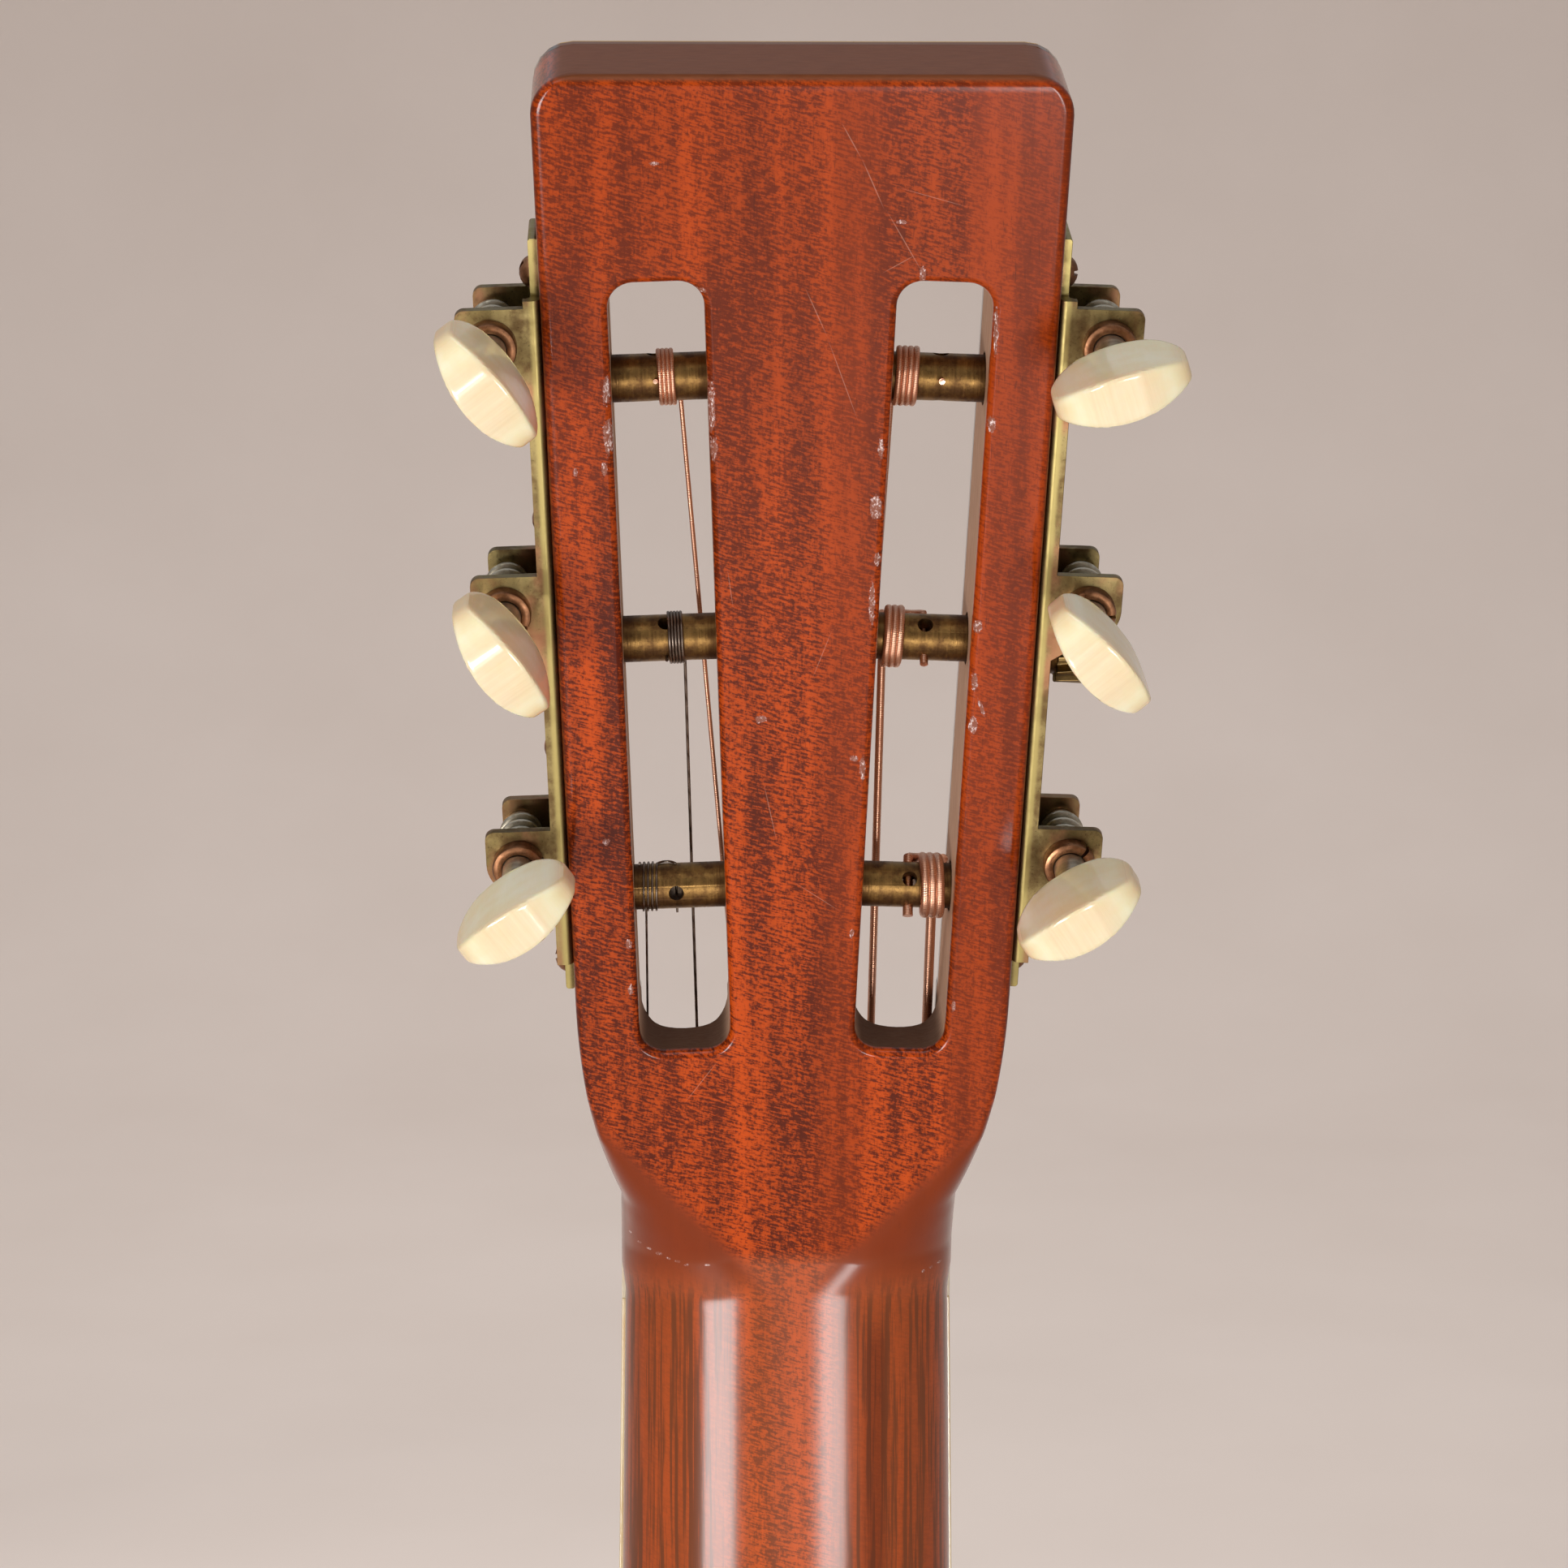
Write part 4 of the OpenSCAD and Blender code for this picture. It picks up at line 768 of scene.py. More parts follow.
def bend_at(points, t):
    """Place and slope of a bend, as ((x, z), (dx, dz))."""
    a, b, c, d = [Vector(p) for p in points]
    at = (1 - t) ** 3 * a + 3 * t * (1 - t) ** 2 * b + 3 * t * t * (1 - t) * c + t ** 3 * d
    slope = 3 * (1 - t) ** 2 * (b - a) + 6 * t * (1 - t) * (c - b) + 3 * t * t * (d - c)
    return at, slope


def half_outline(inset, fine=26):
    points = [Vector((0, -inset)), Vector((15, -inset))]
    for bend in BENDS:
        for i in range(fine):
            at, slope = bend_at(bend, i / fine)
            points.append(at - inset * Vector((-slope.y, slope.x)).normalized())
    return points + [Vector((0, inset - BODY_LEN))]


def outline(inset):
    half = half_outline(inset)
    return half + [Vector((-p.x, p.y)) for p in half[-2:0:-1]]


def back_y_at(z, up=0.0):
    """Height of the back's outer face at a place z below the top of the body, moved by up."""
    return FRONT_Y + DEEP_NECK - z * math.tan(BACK_TILT) + up / math.cos(BACK_TILT)


def body_point(p, y):
    return Vector((p.x, y, BODY_Z + p.y)) * MM


print("outline:", len(outline(0)), "points")

# %% [markdown]
# ## Soundboard
# The soundboard is a thin plate with a round hole and a shallow ledge that the rosette is laid
# into. Its rings change from the body's outline to circles round the hole, so it needs no Boolean.
# Each point keeps how far it lies from the edge, for the inlaid lines.

# %% Soundboard with its soundhole
def mark_inset(obj, insets, around):
    """Keep how far each ring lies from the edge, for the lines in the finish."""
    layer = obj.data.attributes.new("inset", "FLOAT", "POINT")
    for i, value in enumerate(insets):
        for j in range(around):
            layer.data[i * around + j].value = value


def hole_ring(radius):
    """A circle round the soundhole with one point for each point of the outline."""
    centre = Vector((0, HOLE_Z - BODY_Z))
    return [centre + (p - centre).normalized() * radius for p in outline(BIND_T)]


edge = outline(BIND_T)
around = len(edge)
ring_in, ring_out = HOLE_R + ROSETTE_IN, HOLE_R + ROSETTE_IN + ROSETTE_W
levels = [(edge, 0), (outline(BIND_T + 2), 0), (outline(BIND_T + 5), 0)]
levels += [(hole_ring(ring_out), 0), (hole_ring(ring_out), ROSETTE_T)]
levels += [(hole_ring(ring_in), ROSETTE_T), (hole_ring(ring_in), 0)]
levels += [(hole_ring(HOLE_R + 0.6), 0), (hole_ring(HOLE_R + 0.15), 0.15)]
levels += [(hole_ring(HOLE_R), 0.6), (hole_ring(HOLE_R), TOP_T), (edge, TOP_T)]
soundboard = loft("soundboard_plate",
                  [[body_point(p, FRONT_Y + y) for p in ring] for ring, y in levels], closed=True)
mark_inset(soundboard, [0, 2, 5] + [99] * (len(levels) - 4) + [0], around)
soundboard = smooth(soundboard, 30)
print("soundboard:", len(soundboard.data.polygons), "faces")

# %% [markdown]
# ## Rosette
# The rosette is a flat ring of inlaid strips, flush with the soundboard. Every strip could be a
# ring of its own, but they are all level, so it is one ring here and its finish draws the strips.

# %% Rosette rings
def flat_ring(name, inner, outer, deep, sides=160):
    """A ring let into the soundboard round the soundhole."""
    rings = []
    for j in range(sides):
        a = 2 * math.pi * j / sides
        out = Vector((math.cos(a), 0, math.sin(a)))
        at = Vector((0, FRONT_Y, HOLE_Z))
        section_of = [(inner, deep), (inner, 0), (outer, 0), (outer, deep)]
        rings.append([(at + out * r + Vector((0, y, 0))) * MM for r, y in section_of])
    return loft(name, rings, closed=True)


rosette = flat_ring("rosette_rings", ring_in + 0.02, ring_out - 0.02, ROSETTE_T - 0.05)
print("rosette:", len(rosette.data.polygons), "faces")

# %% [markdown]
# ## Back
# The back is a plate bent over curved braces. Copies of the outline shrink towards its middle and
# rise with the arch, once for the outer face and once for the inner one. A flat grid could be bent
# instead, but then its edge would not follow the outline.

# %% Back plate
BACK_ARCH = 3.2


def back_levels():
    middle = Vector((0, -BODY_LEN * 0.52))
    for k in [1, 0.985, 0.96, 0.9, 0.8, 0.68, 0.55, 0.4, 0.25, 0.12, 0.03]:
        arch = BACK_ARCH * (1 - k * k)
        yield [middle + (p - middle) * k for p in outline(BIND_T)], arch


outer_rings, inner_rings = [], []
for ring, arch in back_levels():
    outer_rings.append([body_point(p, back_y_at(p.y, arch)) for p in ring])
    inner_rings.append([body_point(p, back_y_at(p.y, arch - BACK_T)) for p in ring])
back_plate = smooth(loft("back_plate", outer_rings[::-1] + inner_rings), 40)
print("back:", len(back_plate.data.polygons), "faces")

# %% [markdown]
# ## Sides and bindings
# A side is one long board bent from the neck joint to the tail, and a binding is a narrow strip
# let into the edge. Both are lofts of small sections along the outline. The sides keep their
# length along the bend, because their grain runs that way.

# %% Sides and bindings
def wall_half(name, side):
    """One bent side, from the neck joint to the tail."""
    rings, own, run = [], [], 0.0
    last = half_outline(0)[0]
    for outer, inner in zip(half_outline(0), half_outline(SIDE_T)):
        front = FRONT_Y + BIND_H
        run, last = run + (outer - last).length, outer
        points = [(outer, front), (outer, back_y_at(outer.y, -BIND_H)),
                  (inner, back_y_at(inner.y, -BIND_H)), (inner, front)]
        rings.append([body_point(Vector((side * p.x, p.y)), y) for p, y in points])
        own += [(y, (p - outer).length, side * run) for p, y in points]
    return smooth(loft(name, rings, own=own), 40)


def binding_ring(name, y_of):
    """A strip round the body. y_of gives the outer and the inner height at a place z."""
    rings = []
    for outer, soft, inner in zip(outline(0), outline(0.7), outline(BIND_T)):
        face, foot = y_of(outer.y)
        turn = 0.7 if foot > face else -0.7
        points = [(outer, foot), (outer, face + turn), (outer.lerp(soft, 0.3), face + 0.3 * turn),
                  (soft, face), (inner, face), (inner, foot)]
        rings.append([body_point(p, y) for p, y in points])
    return loft(name, rings, closed=True)


sides = {"bass": wall_half("side_board_bass", -1), "treble": wall_half("side_board_treble", 1)}
front_binding = binding_ring("binding_strips", lambda z: (FRONT_Y, FRONT_Y + BIND_H))
rear_binding = binding_ring("binding_rear", lambda z: (back_y_at(z), back_y_at(z, -BIND_H)))


def join(*objects):
    """Put the later objects' meshes into the first one."""
    bm = bmesh.new()
    for obj in objects:
        bm.from_mesh(obj.data)
    bm.to_mesh(objects[0].data)
    bm.free()
    for obj in objects[1:]:
        bpy.data.objects.remove(obj)
    return objects[0]


body_binding = smooth(join(front_binding, rear_binding), 35)
print("binding:", len(body_binding.data.polygons), "faces")

# %% [markdown]
# ## Strings
# Each string runs from its pin over the saddle and the nut, dips into a slot and meets its roller
# on a tangent. There it winds on in a few turns, and its end goes through the hole in the roller.
# The run belongs to the guitar and the turns belong to the roller, so they can move apart when a
# key is turned.

# %% Where the strings run
# one value for each string, from the thin first to the thick sixth; places lie along the roller
STRING_R = [0.15, 0.2, 0.3, 0.4, 0.53, 0.67]
WIND_NEAR = [9.1, 14.1, 14.1, 16.7, 16.8, 9.2]  # the turn nearest to the headstock's edge
WIND_STEP = [0.75, 0.5, 0.7, 0.95, 1.16, 1.42]  # from one turn to the next
WIND_TURNS = [4, 5, 4, 4, 3, 3]
LEAVE_FROM = [9.8, 16.1, 16.6, 19.5, 18.9, 10.3]  # where the straight run meets the roller
HOLE_IN = 13.8  # the hole of every roller
HOLE_TURN = [4, 61, 100, 100, 54, 40]  # how the hole is turned, in degrees
TAIL_LIFT = [0.08, 0.08, 0.12, 0.6, 0.6, 0.3]  # how far the end rides up on its way to the hole
ROLLER_R = 3.0
STRING_LOW = -NECK_T - BOARD_T - 1.4
NUT_SPREAD, SADDLE_SPREAD = 37.6, 56
BRIDGE_H, SADDLE_UP, SADDLE_T, PIN_BACK, PIN_R = 8.5, 3.4, 2.6, 11.0, 2.4
SADDLE_Z = NUT_Z - SCALE - 2


def across(n, spread):
    return spread / 2 - (n - 1) * spread / 5


def wind_radius(n):
    return ROLLER_R + STRING_R[n - 1] + 0.02


def string_path(n):
    """Points of a string's run in millimetres, from its pin to its roller."""
    r = STRING_R[n - 1]
    low = STRING_LOW - r
    saddle_x, nut_x = across(n, SADDLE_SPREAD), across(n, NUT_SPREAD)
    lean = saddle_x * math.sin(math.radians(1.6)) - SADDLE_T / 2 - 0.2
    path = [Vector((saddle_x, -NECK_T - BRIDGE_H + 1.3, SADDLE_Z - PIN_BACK + PIN_R + 0.1)),
            Vector((saddle_x, -NECK_T - BRIDGE_H - SADDLE_UP - r - 0.03, SADDLE_Z + lean)),
            Vector((nut_x, low, NUT_Z)), Vector((nut_x, low, NUT_Z + 5))]
    centre = roller_matrix(n) @ Vector((-LEAVE_FROM[n - 1], 0, 0)) / MM
    to = centre - path[-1]
    angle = math.atan2(to.y, to.z) - math.asin(wind_radius(n) / math.hypot(to.y, to.z))
    tangent = centre + wind_radius(n) * Vector((0, -math.cos(angle), math.sin(angle)))
    if n == 4:
        web = -(HEAD_HALF - RAIL - SLOT_W + 75 * math.tan(FLARE)) - 0.5
        path.append(head_point(web, -HEAD_THICK - VENEER - 0.45, 75) / MM)
    return path + [tangent]


def eased(path, bend=1.6, count=7):
    """Round the corners of a path, because a string bends over a radius."""
    out = [path[0]]
    for before, at, after in zip(path, path[1:], path[2:]):
        reach = min(bend, (before - at).length / 2.2, (after - at).length / 2.2)
        a, b = at + (before - at).normalized() * reach, at + (after - at).normalized() * reach
        out += [a.lerp(at, t).lerp(at.lerp(b, t), t) for t in (i / count for i in range(count + 1))]
    return out + [path[-1]]


runs = {n: eased(string_path(n)) for n in range(1, 7)}
print("string 6 is", round(sum((b - a).length for a, b in zip(runs[6], runs[6][1:]))), "mm long")

# %% [markdown]
# ## Finishes from nodes
# Paint, lacquer and grain could come from pictures, but here every finish is worked out from the
# place on the piece, so it runs unbroken round the edges and never stretches. Places are in
# millimetres. The helper adds one node at a time and connects what it is given, which keeps each
# finish a short read.

# %% A short way to add shader nodes
def tone(red, green, blue):
    """A screen colour from 0 to 255 as the linear values that a shader works with."""
    return tuple(((c / 255 + 0.055) / 1.055) ** 2.4 for c in (red, green, blue)) + (1.0,)


class Shading:
    """Adds nodes to one tree. Each call returns an output that can feed the next call."""

    def __init__(self, tree):
        self.tree = tree

    def add(self, kind, inputs, out=0, **settings):
        made = self.tree.nodes.new("ShaderNode" + kind)
        for key, value in settings.items():
            setattr(made, key, value)
        for key, value in inputs.items():
            if isinstance(value, bpy.types.NodeSocket):
                self.tree.links.new(value, made.inputs[key])
            else:
                made.inputs[key].default_value = value
        return made.outputs if out is None else made.outputs[out]

    def math(self, operation, a, b=0.0, c=0.0):
        return self.add("Math", {0: a, 1: b, 2: c}, operation=operation)

    def times(self, a, b):
        return self.math("MULTIPLY", a, b)

    def plus(self, a, b):
        return self.math("ADD", a, b)

    def minus(self, a, b):
        return self.math("SUBTRACT", a, b)

    def times_plus(self, a, b, c):
        return self.math("MULTIPLY_ADD", a, b, c)

    def absolute(self, a):
        return self.math("ABSOLUTE", a)

    def ramp(self, value, low, high, start=0.0, end=1.0):
        """A smooth change from start to end while value goes from low to high."""
        return self.add("MapRange", {0: value, 1: low, 2: high, 3: start, 4: end},
                        interpolation_type="SMOOTHSTEP")

    def mix(self, share, a, b, blend="MIX"):
        return self.add("Mix", {0: share, 6: a, 7: b}, 2, data_type="RGBA", blend_type=blend)

    def grey(self, value):
        """A value as a colour, to multiply another colour by."""
        return self.add("CombineColor", {0: value, 1: value, 2: value})

    def noise(self, place, stretch, detail=2.0, rough=0.5):
        """Cloudy noise. A small stretch number makes long marks in that direction."""
        spread = self.add("Mapping", {"Vector": place, "Scale": stretch})
        return self.add("TexNoise", {"Vector": spread, "Scale": 1.0, "Detail": detail,
                                     "Roughness": rough})

    def parts(self, vector):
        return self.add("SeparateXYZ", {0: vector}, None)

    def place(self, tilt=0.0):
        """The place on the piece in millimetres, turned about the x axis by tilt."""
        spot = self.add("TexCoord", {}, "Object")
        return self.add("Mapping", {"Vector": spot, "Rotation": (tilt, 0, 0), "Scale": (1000,) * 3})

    def own_place(self):
        """The place in the piece's own frame, stored on its mesh."""
        return self.add("Attribute", {}, "Vector", attribute_name="own")

    def effect(self, group, inputs):
        return self.add("Group", inputs, None, node_tree=group)


print("a screen grey of 128 is", round(tone(128, 128, 128)[0], 3), "for the shader")

# %% [markdown]
# ## Effects and finishes
# An effect that several materials share is a shader group with named sockets. A finish is one
# material with one shader: what stays even is set on the shader's own sockets, and only what
# changes from place to place is fed in.

# %% Start an effect or a finish
def new_effect(name, inputs, outputs):
    """An empty shader group with named sockets, for an effect that several finishes use."""
    group = bpy.data.node_groups.new(name, "ShaderNodeTree")
    for label, kind in inputs:
        group.interface.new_socket(label, in_out="INPUT", socket_type="NodeSocket" + kind)
    for label, kind in outputs:
        group.interface.new_socket(label, in_out="OUTPUT", socket_type="NodeSocket" + kind)
    enter, leave = group.nodes.new("NodeGroupInput"), group.nodes.new("NodeGroupOutput")
    return group, enter.outputs, leave.inputs


def new_finish(name, **plain):
    """A material, its tree's helper and its shader. plain sets sockets that stay even."""
    finish = bpy.data.materials.new(name)
    finish.use_nodes = True
    shader = finish.node_tree.nodes["Principled BSDF"]
    for label, value in plain.items():
        shader.inputs[label.replace("_", " ").title().replace("Ior", "IOR")].default_value = value
    return finish, Shading(finish.node_tree), shader.inputs


def dress(shade, sockets, colour, roughness=None, height=None, depth=0.05):
    """Feed a colour, a roughness and a relief in millimetres to a shader."""
    shade.tree.links.new(colour, sockets["Base Color"])
    if roughness is not None:
        shade.tree.links.new(roughness, sockets["Roughness"])
    if height is not None:
        bump = shade.add("Bump", {"Height": height, "Distance": depth * MM, "Strength": 1.0})
        shade.tree.links.new(bump, sockets["Normal"])


print("a finish takes a colour, a roughness and a relief")

# %% [markdown]
# ## Mahogany
# Old mahogany is orange-brown with darker streaks along the grain, fine open pores, and on a flat
# face a figure like woven cloth: short dashes across the grain. A noise stretched sideways gives
# the dashes, a finer one breaks them up, others give the streaks and the long dark lines, and thin
# stretched spots give the pores. The neck, the back and the sides all use this group, each with
# its own share.

# %% Mahogany group
def build_mahogany():
    group, enter, leave = new_effect("mahogany figure",
                                     [("Place", "Vector"), ("Weave", "Float"), ("Lines", "Float")],
                                     [("Color", "Color"), ("Height", "Float")])
    shade = Shading(group)
    place = enter["Place"]
    leaning = shade.add("Mapping", {"Vector": place, "Rotation": (0, 0.3, 0)})
    dashes = shade.noise(leaning, (0.6, 0.8, 3.1), 3, 0.6)
    grains = shade.noise(place, (2.6, 0.8, 1.5), 3, 0.65)
    streaks = shade.noise(place, (0.24, 0.2, 0.012), 3, 0.55)
    patches = shade.noise(place, (0.16, 0.2, 0.07), 3, 0.6)
    woven = shade.times_plus(dashes, 0.62, shade.times(grains, 0.38))
    lift = shade.times_plus(patches, 0.2, shade.times(streaks, 0.2))
    fleck = shade.ramp(shade.plus(woven, lift), 0.632, 0.772)
    woven_part = shade.times(fleck, enter["Weave"])
    even_part = shade.times(shade.minus(1.0, enter["Weave"]), 0.42)
    share = shade.plus(woven_part, even_part)
    colour = shade.mix(share, tone(92, 28, 3), tone(186, 70, 8))
    light_streak = shade.ramp(streaks, 0.3, 0.7, 0.78, 1.12)
    colour = shade.mix(1.0, colour, shade.grey(light_streak), "MULTIPLY")
    long_lines = shade.noise(place, (1.6, 1.0, 0.03), 4, 0.65)
    line = shade.times(shade.ramp(long_lines, 0.46, 0.57), enter["Lines"])
    colour = shade.mix(line, colour, tone(50, 16, 5))
    pores = shade.ramp(shade.noise(place, (4.2, 3.0, 0.35), 2, 0.6), 0.6, 0.7)
    colour = shade.mix(shade.times(pores, 0.45), colour, tone(58, 22, 8))
    group.links.new(colour, leave["Color"])
    group.links.new(shade.times_plus(pores, -1.0, fleck), leave["Height"])
    return group


mahogany = build_mahogany()
print("group:", mahogany.name, "with", len(mahogany.nodes), "nodes")

# %% [markdown]
# ## Spots and scratches
# Wear is local: a chip sits at one place on one edge. A spot is an ellipse that the place is
# squeezed into, with a ragged rim from noise, and a very slim ellipse makes a scratch. The lists
# give each one's place on the back, across and up, then its half axes and its turn in degrees.

# %% Spots on the headstock
def spot(shade, place, across_at, up_at, half_across, half_up, turn=0.0):
    """Distance from an ellipse's centre, in half axes. 1 is its rim."""
    local = shade.add("Mapping", {"Vector": place, "Location": (across_at, 0, up_at),
                                  "Rotation": (0, math.radians(turn), 0),
                                  "Scale": (half_across, 1000, half_up)}, vector_type="TEXTURE")
    return shade.add("VectorMath", {0: local}, 1, operation="LENGTH")


def nearest(shade, place, spots):
    distance = spot(shade, place, *spots[0])
    for values in spots[1:]:
        distance = shade.math("MINIMUM", distance, spot(shade, place, *values))
    return distance


CHIPS = [(23.9, 123.2, 0.5, 1.9), (23.7, 117.2, 0.7, 2.4), (24.3, 113.0, 0.4, 0.9),
         (11.0, 121.0, 0.55, 3.6), (10.6, 115.6, 0.5, 1.4), (-10.2, 115.7, 0.4, 1.2),
         (-9.7, 108.0, 0.75, 1.9), (-10.0, 100.9, 0.5, 0.9), (-9.4, 95.0, 0.4, 3.0),
         (-24.1, 131.0, 0.3, 3.2), (-23.9, 118.8, 0.55, 1.1), (-14.9, 138.2, 0.4, 1.3),
         (12.4, 136.2, 0.8, 0.4), (-12.2, 144.9, 0.7, 0.3), (-22.9, 91.8, 0.6, 0.9),
         (-22.7, 84.3, 0.5, 1.2), (-22.7, 78.2, 0.6, 1.3), (-23.7, 80.6, 0.3, 1.3, 20),
         (21.5, 47.3, 0.45, 0.75), (21.3, 40.6, 0.4, 0.8), (24.4, 61.9, 0.5, 0.5),
         (4.5, 79.1, 0.7, 0.55), (-8.6, 72.2, 0.4, 1.9), (-7.5, 73.6, 0.5, 0.5),
         (-21.2, 38.0, 0.3, 0.8), (-7.6, 48.7, 0.3, 0.7), (18.0, 152.2, 0.6, 0.25),
         (27.9, 112.6, 0.3, 0.6)]
SCRATCHES = [(-5.9, 155.1, 0.09, 2.9, 29), (-8.6, 149.7, 0.09, 4.0, 24),
             (-12.6, 142.4, 0.08, 5.2, 30), (-1.9, 133.4, 0.08, 3.9, 24),
             (-5.3, 124.7, 0.07, 6.6, 20), (-12.0, 139.6, 0.07, 2.7, -60),
             (3.2, 66.0, 0.07, 5.0, 12), (-3.2, 88.0, 0.06, 4.0, -20), (8.5, 97.0, 0.06, 3.0, 8),
             (-16.0, 148.0, 0.06, 5.0, 74), (12.0, 27.0, 0.07, 4.5, -35),
             (-3.0, 54.0, 0.06, 4.2, 55)]
CREASE_DOTS = [(21.6, 2.3, 0.28, 0.2), (20.3, 1.2, 0.35, 0.2), (19.0, 0.6, 0.4, 0.22),
               (17.7, 0.1, 0.5, 0.25), (16.4, -0.4, 0.3, 0.2), (15.2, -0.7, 0.4, 0.2),
               (14.0, -1.1, 0.3, 0.2), (11.2, -0.9, 0.5, 0.16), (-18.3, -3.0, 0.3, 0.2),
               (-19.4, -2.7, 0.35, 0.2), (-20.6, -2.4, 0.4, 0.18)]
print(len(CHIPS), "chips,", len(SCRATCHES), "scratches")

# %% [markdown]
# ## The neck's lacquer
# The neck is one material with regions: woven figure on the flat back of the headstock, plain
# brown on the two scooped facets, darkened there by painted shade, long dark lines on the flanks of
# the shaft, end grain at the tip and bare wood inside the slots. Each region is a mask from the
# place. The lacquer is the shader's coat, and it is missing inside the slots.

# %% Regions of the neck
def beside_edge(shade, place):
    """Across, height, up, and how far a place lies outside the headstock's edge."""
    across_at, height, up = shade.parts(place)
    side = shade.absolute(across_at)
    level = shade.times_plus(up, -math.sin(FLARE), -HEAD_HALF)
    return across_at, height, up, side, shade.times_plus(side, math.cos(FLARE), level)


def figure_shares(shade, w, s, side, x, z):
    """Where the headstock and the facets are, and the share of weave and of long lines."""
    on_head = shade.ramp(s, -1.5, 1.5)
    facet = shade.ramp(shade.minus(side, shade.times_plus(s, FACET_RISE, FACET_W)), -2.6, 1.4)
    facet = shade.times(facet, shade.ramp(z, -6.0, -0.5))
    band = shade.ramp(shade.absolute(shade.plus(w, 6.6)), 1.0, 5.2, 0.42, 0.0)
    rail = shade.ramp(w, -21.5, -19.5, 0.5, 0.0)
    head_weave = shade.minus(shade.minus(1.0, band), rail)
    head_weave = shade.times(head_weave, shade.ramp(s, 75, 135, 1.0, 0.66))
    shaft_weave = shade.ramp(shade.absolute(shade.minus(x, 1.0)), 4.0, 9.0, 1.0, 0.2)
    weave = shade.add("Mix", {0: on_head, 2: shaft_weave, 3: head_weave}, data_type="FLOAT")
    weave = shade.times(weave, shade.minus(1.0, facet))
    lines = shade.ramp(shade.absolute(shade.minus(x, 0.5)), 5.0, 10.0, 0.1, 0.95)
    lines = shade.times(lines, shade.minus(1.0, shade.ramp(z, -8.0, -1.0)))
    return on_head, facet, weave, lines


def slot_walls(shade, place, colour, h, s, out):
    """Bare wood on the walls of the slots, with painted shade at their low end, and its mask."""
    inner = shade.times(shade.ramp(out, -RAIL + 1.2, -RAIL + 0.3),
                        shade.ramp(out, -RAIL - SLOT_W - 1.2, -RAIL - SLOT_W - 0.3))
    inner = shade.times(inner, shade.ramp(h, -0.9, -1.5))
    inner = shade.times(inner, shade.ramp(s, 9.0, 11.0))
    inner = shade.times(inner, shade.ramp(s, SLOT_HIGH + 4, SLOT_HIGH + 2))
    bare = shade.mix(shade.noise(place, (1.0, 2.5, 0.2), 4, 0.6), tone(150, 112, 88),
                     tone(214, 176, 148))
    # painted shade darkens the walls towards the low end of each slot
    low_wall_shade = shade.ramp(s, SLOT_LOW + 1.2, SLOT_LOW + 3.4, 0.8, 0.0)
    bare = shade.mix(low_wall_shade, bare, tone(58, 32, 18))
    return shade.mix(inner, colour, bare), inner


def worn(shade, place, straight, colour, h, y):
    """Scratches, chips and the broken lacquer at the crease, on the back only, with painted glints
    in the chips.
    """
    rag = shade.times_plus(shade.noise(place, (1.7, 1.7, 1.1), 4, 0.75), 2.0, -1.0)
    on_back = shade.ramp(h, -1.9, -0.9)
    chip = shade.ramp(shade.plus(nearest(shade, place, CHIPS), rag), 1.0, 0.8)
    chip = shade.times(chip, on_back)
    scratch = shade.ramp(nearest(shade, place, SCRATCHES), 1.0, 0.4, 0.0, 0.45)
    scratch = shade.times(scratch, on_back)
    dots = shade.ramp(shade.plus(nearest(shade, straight, CREASE_DOTS), rag), 1.0, 0.7, 0.0, 0.75)
    dots = shade.times(dots, shade.ramp(y, -14.0, -10.0))
    colour = shade.mix(scratch, colour, tone(190, 140, 115))
    # the chips and dots are pale crazed lacquer with painted glints in near white
    glint = shade.ramp(shade.noise(place, (2.6, 2.6, 1.5), 4, 0.75), 0.5, 0.66)
    broken_and_glint = shade.mix(glint, tone(142, 84, 66), tone(250, 232, 228))
    return shade.mix(shade.math("MAXIMUM", chip, dots), colour, broken_and_glint)


print("the neck's regions: headstock, facets, shaft, slot walls and wear")

# %% [markdown]
# ## The neck's lacquer, put together
# The figure comes first, then the local colours over it, from the shaft's paler brown to the
# chips. The relief is only a slow ripple and the open grain, as a rubbed lacquer has. Giving the
# chips a relief too would need more working memory than the renderer has for one material.

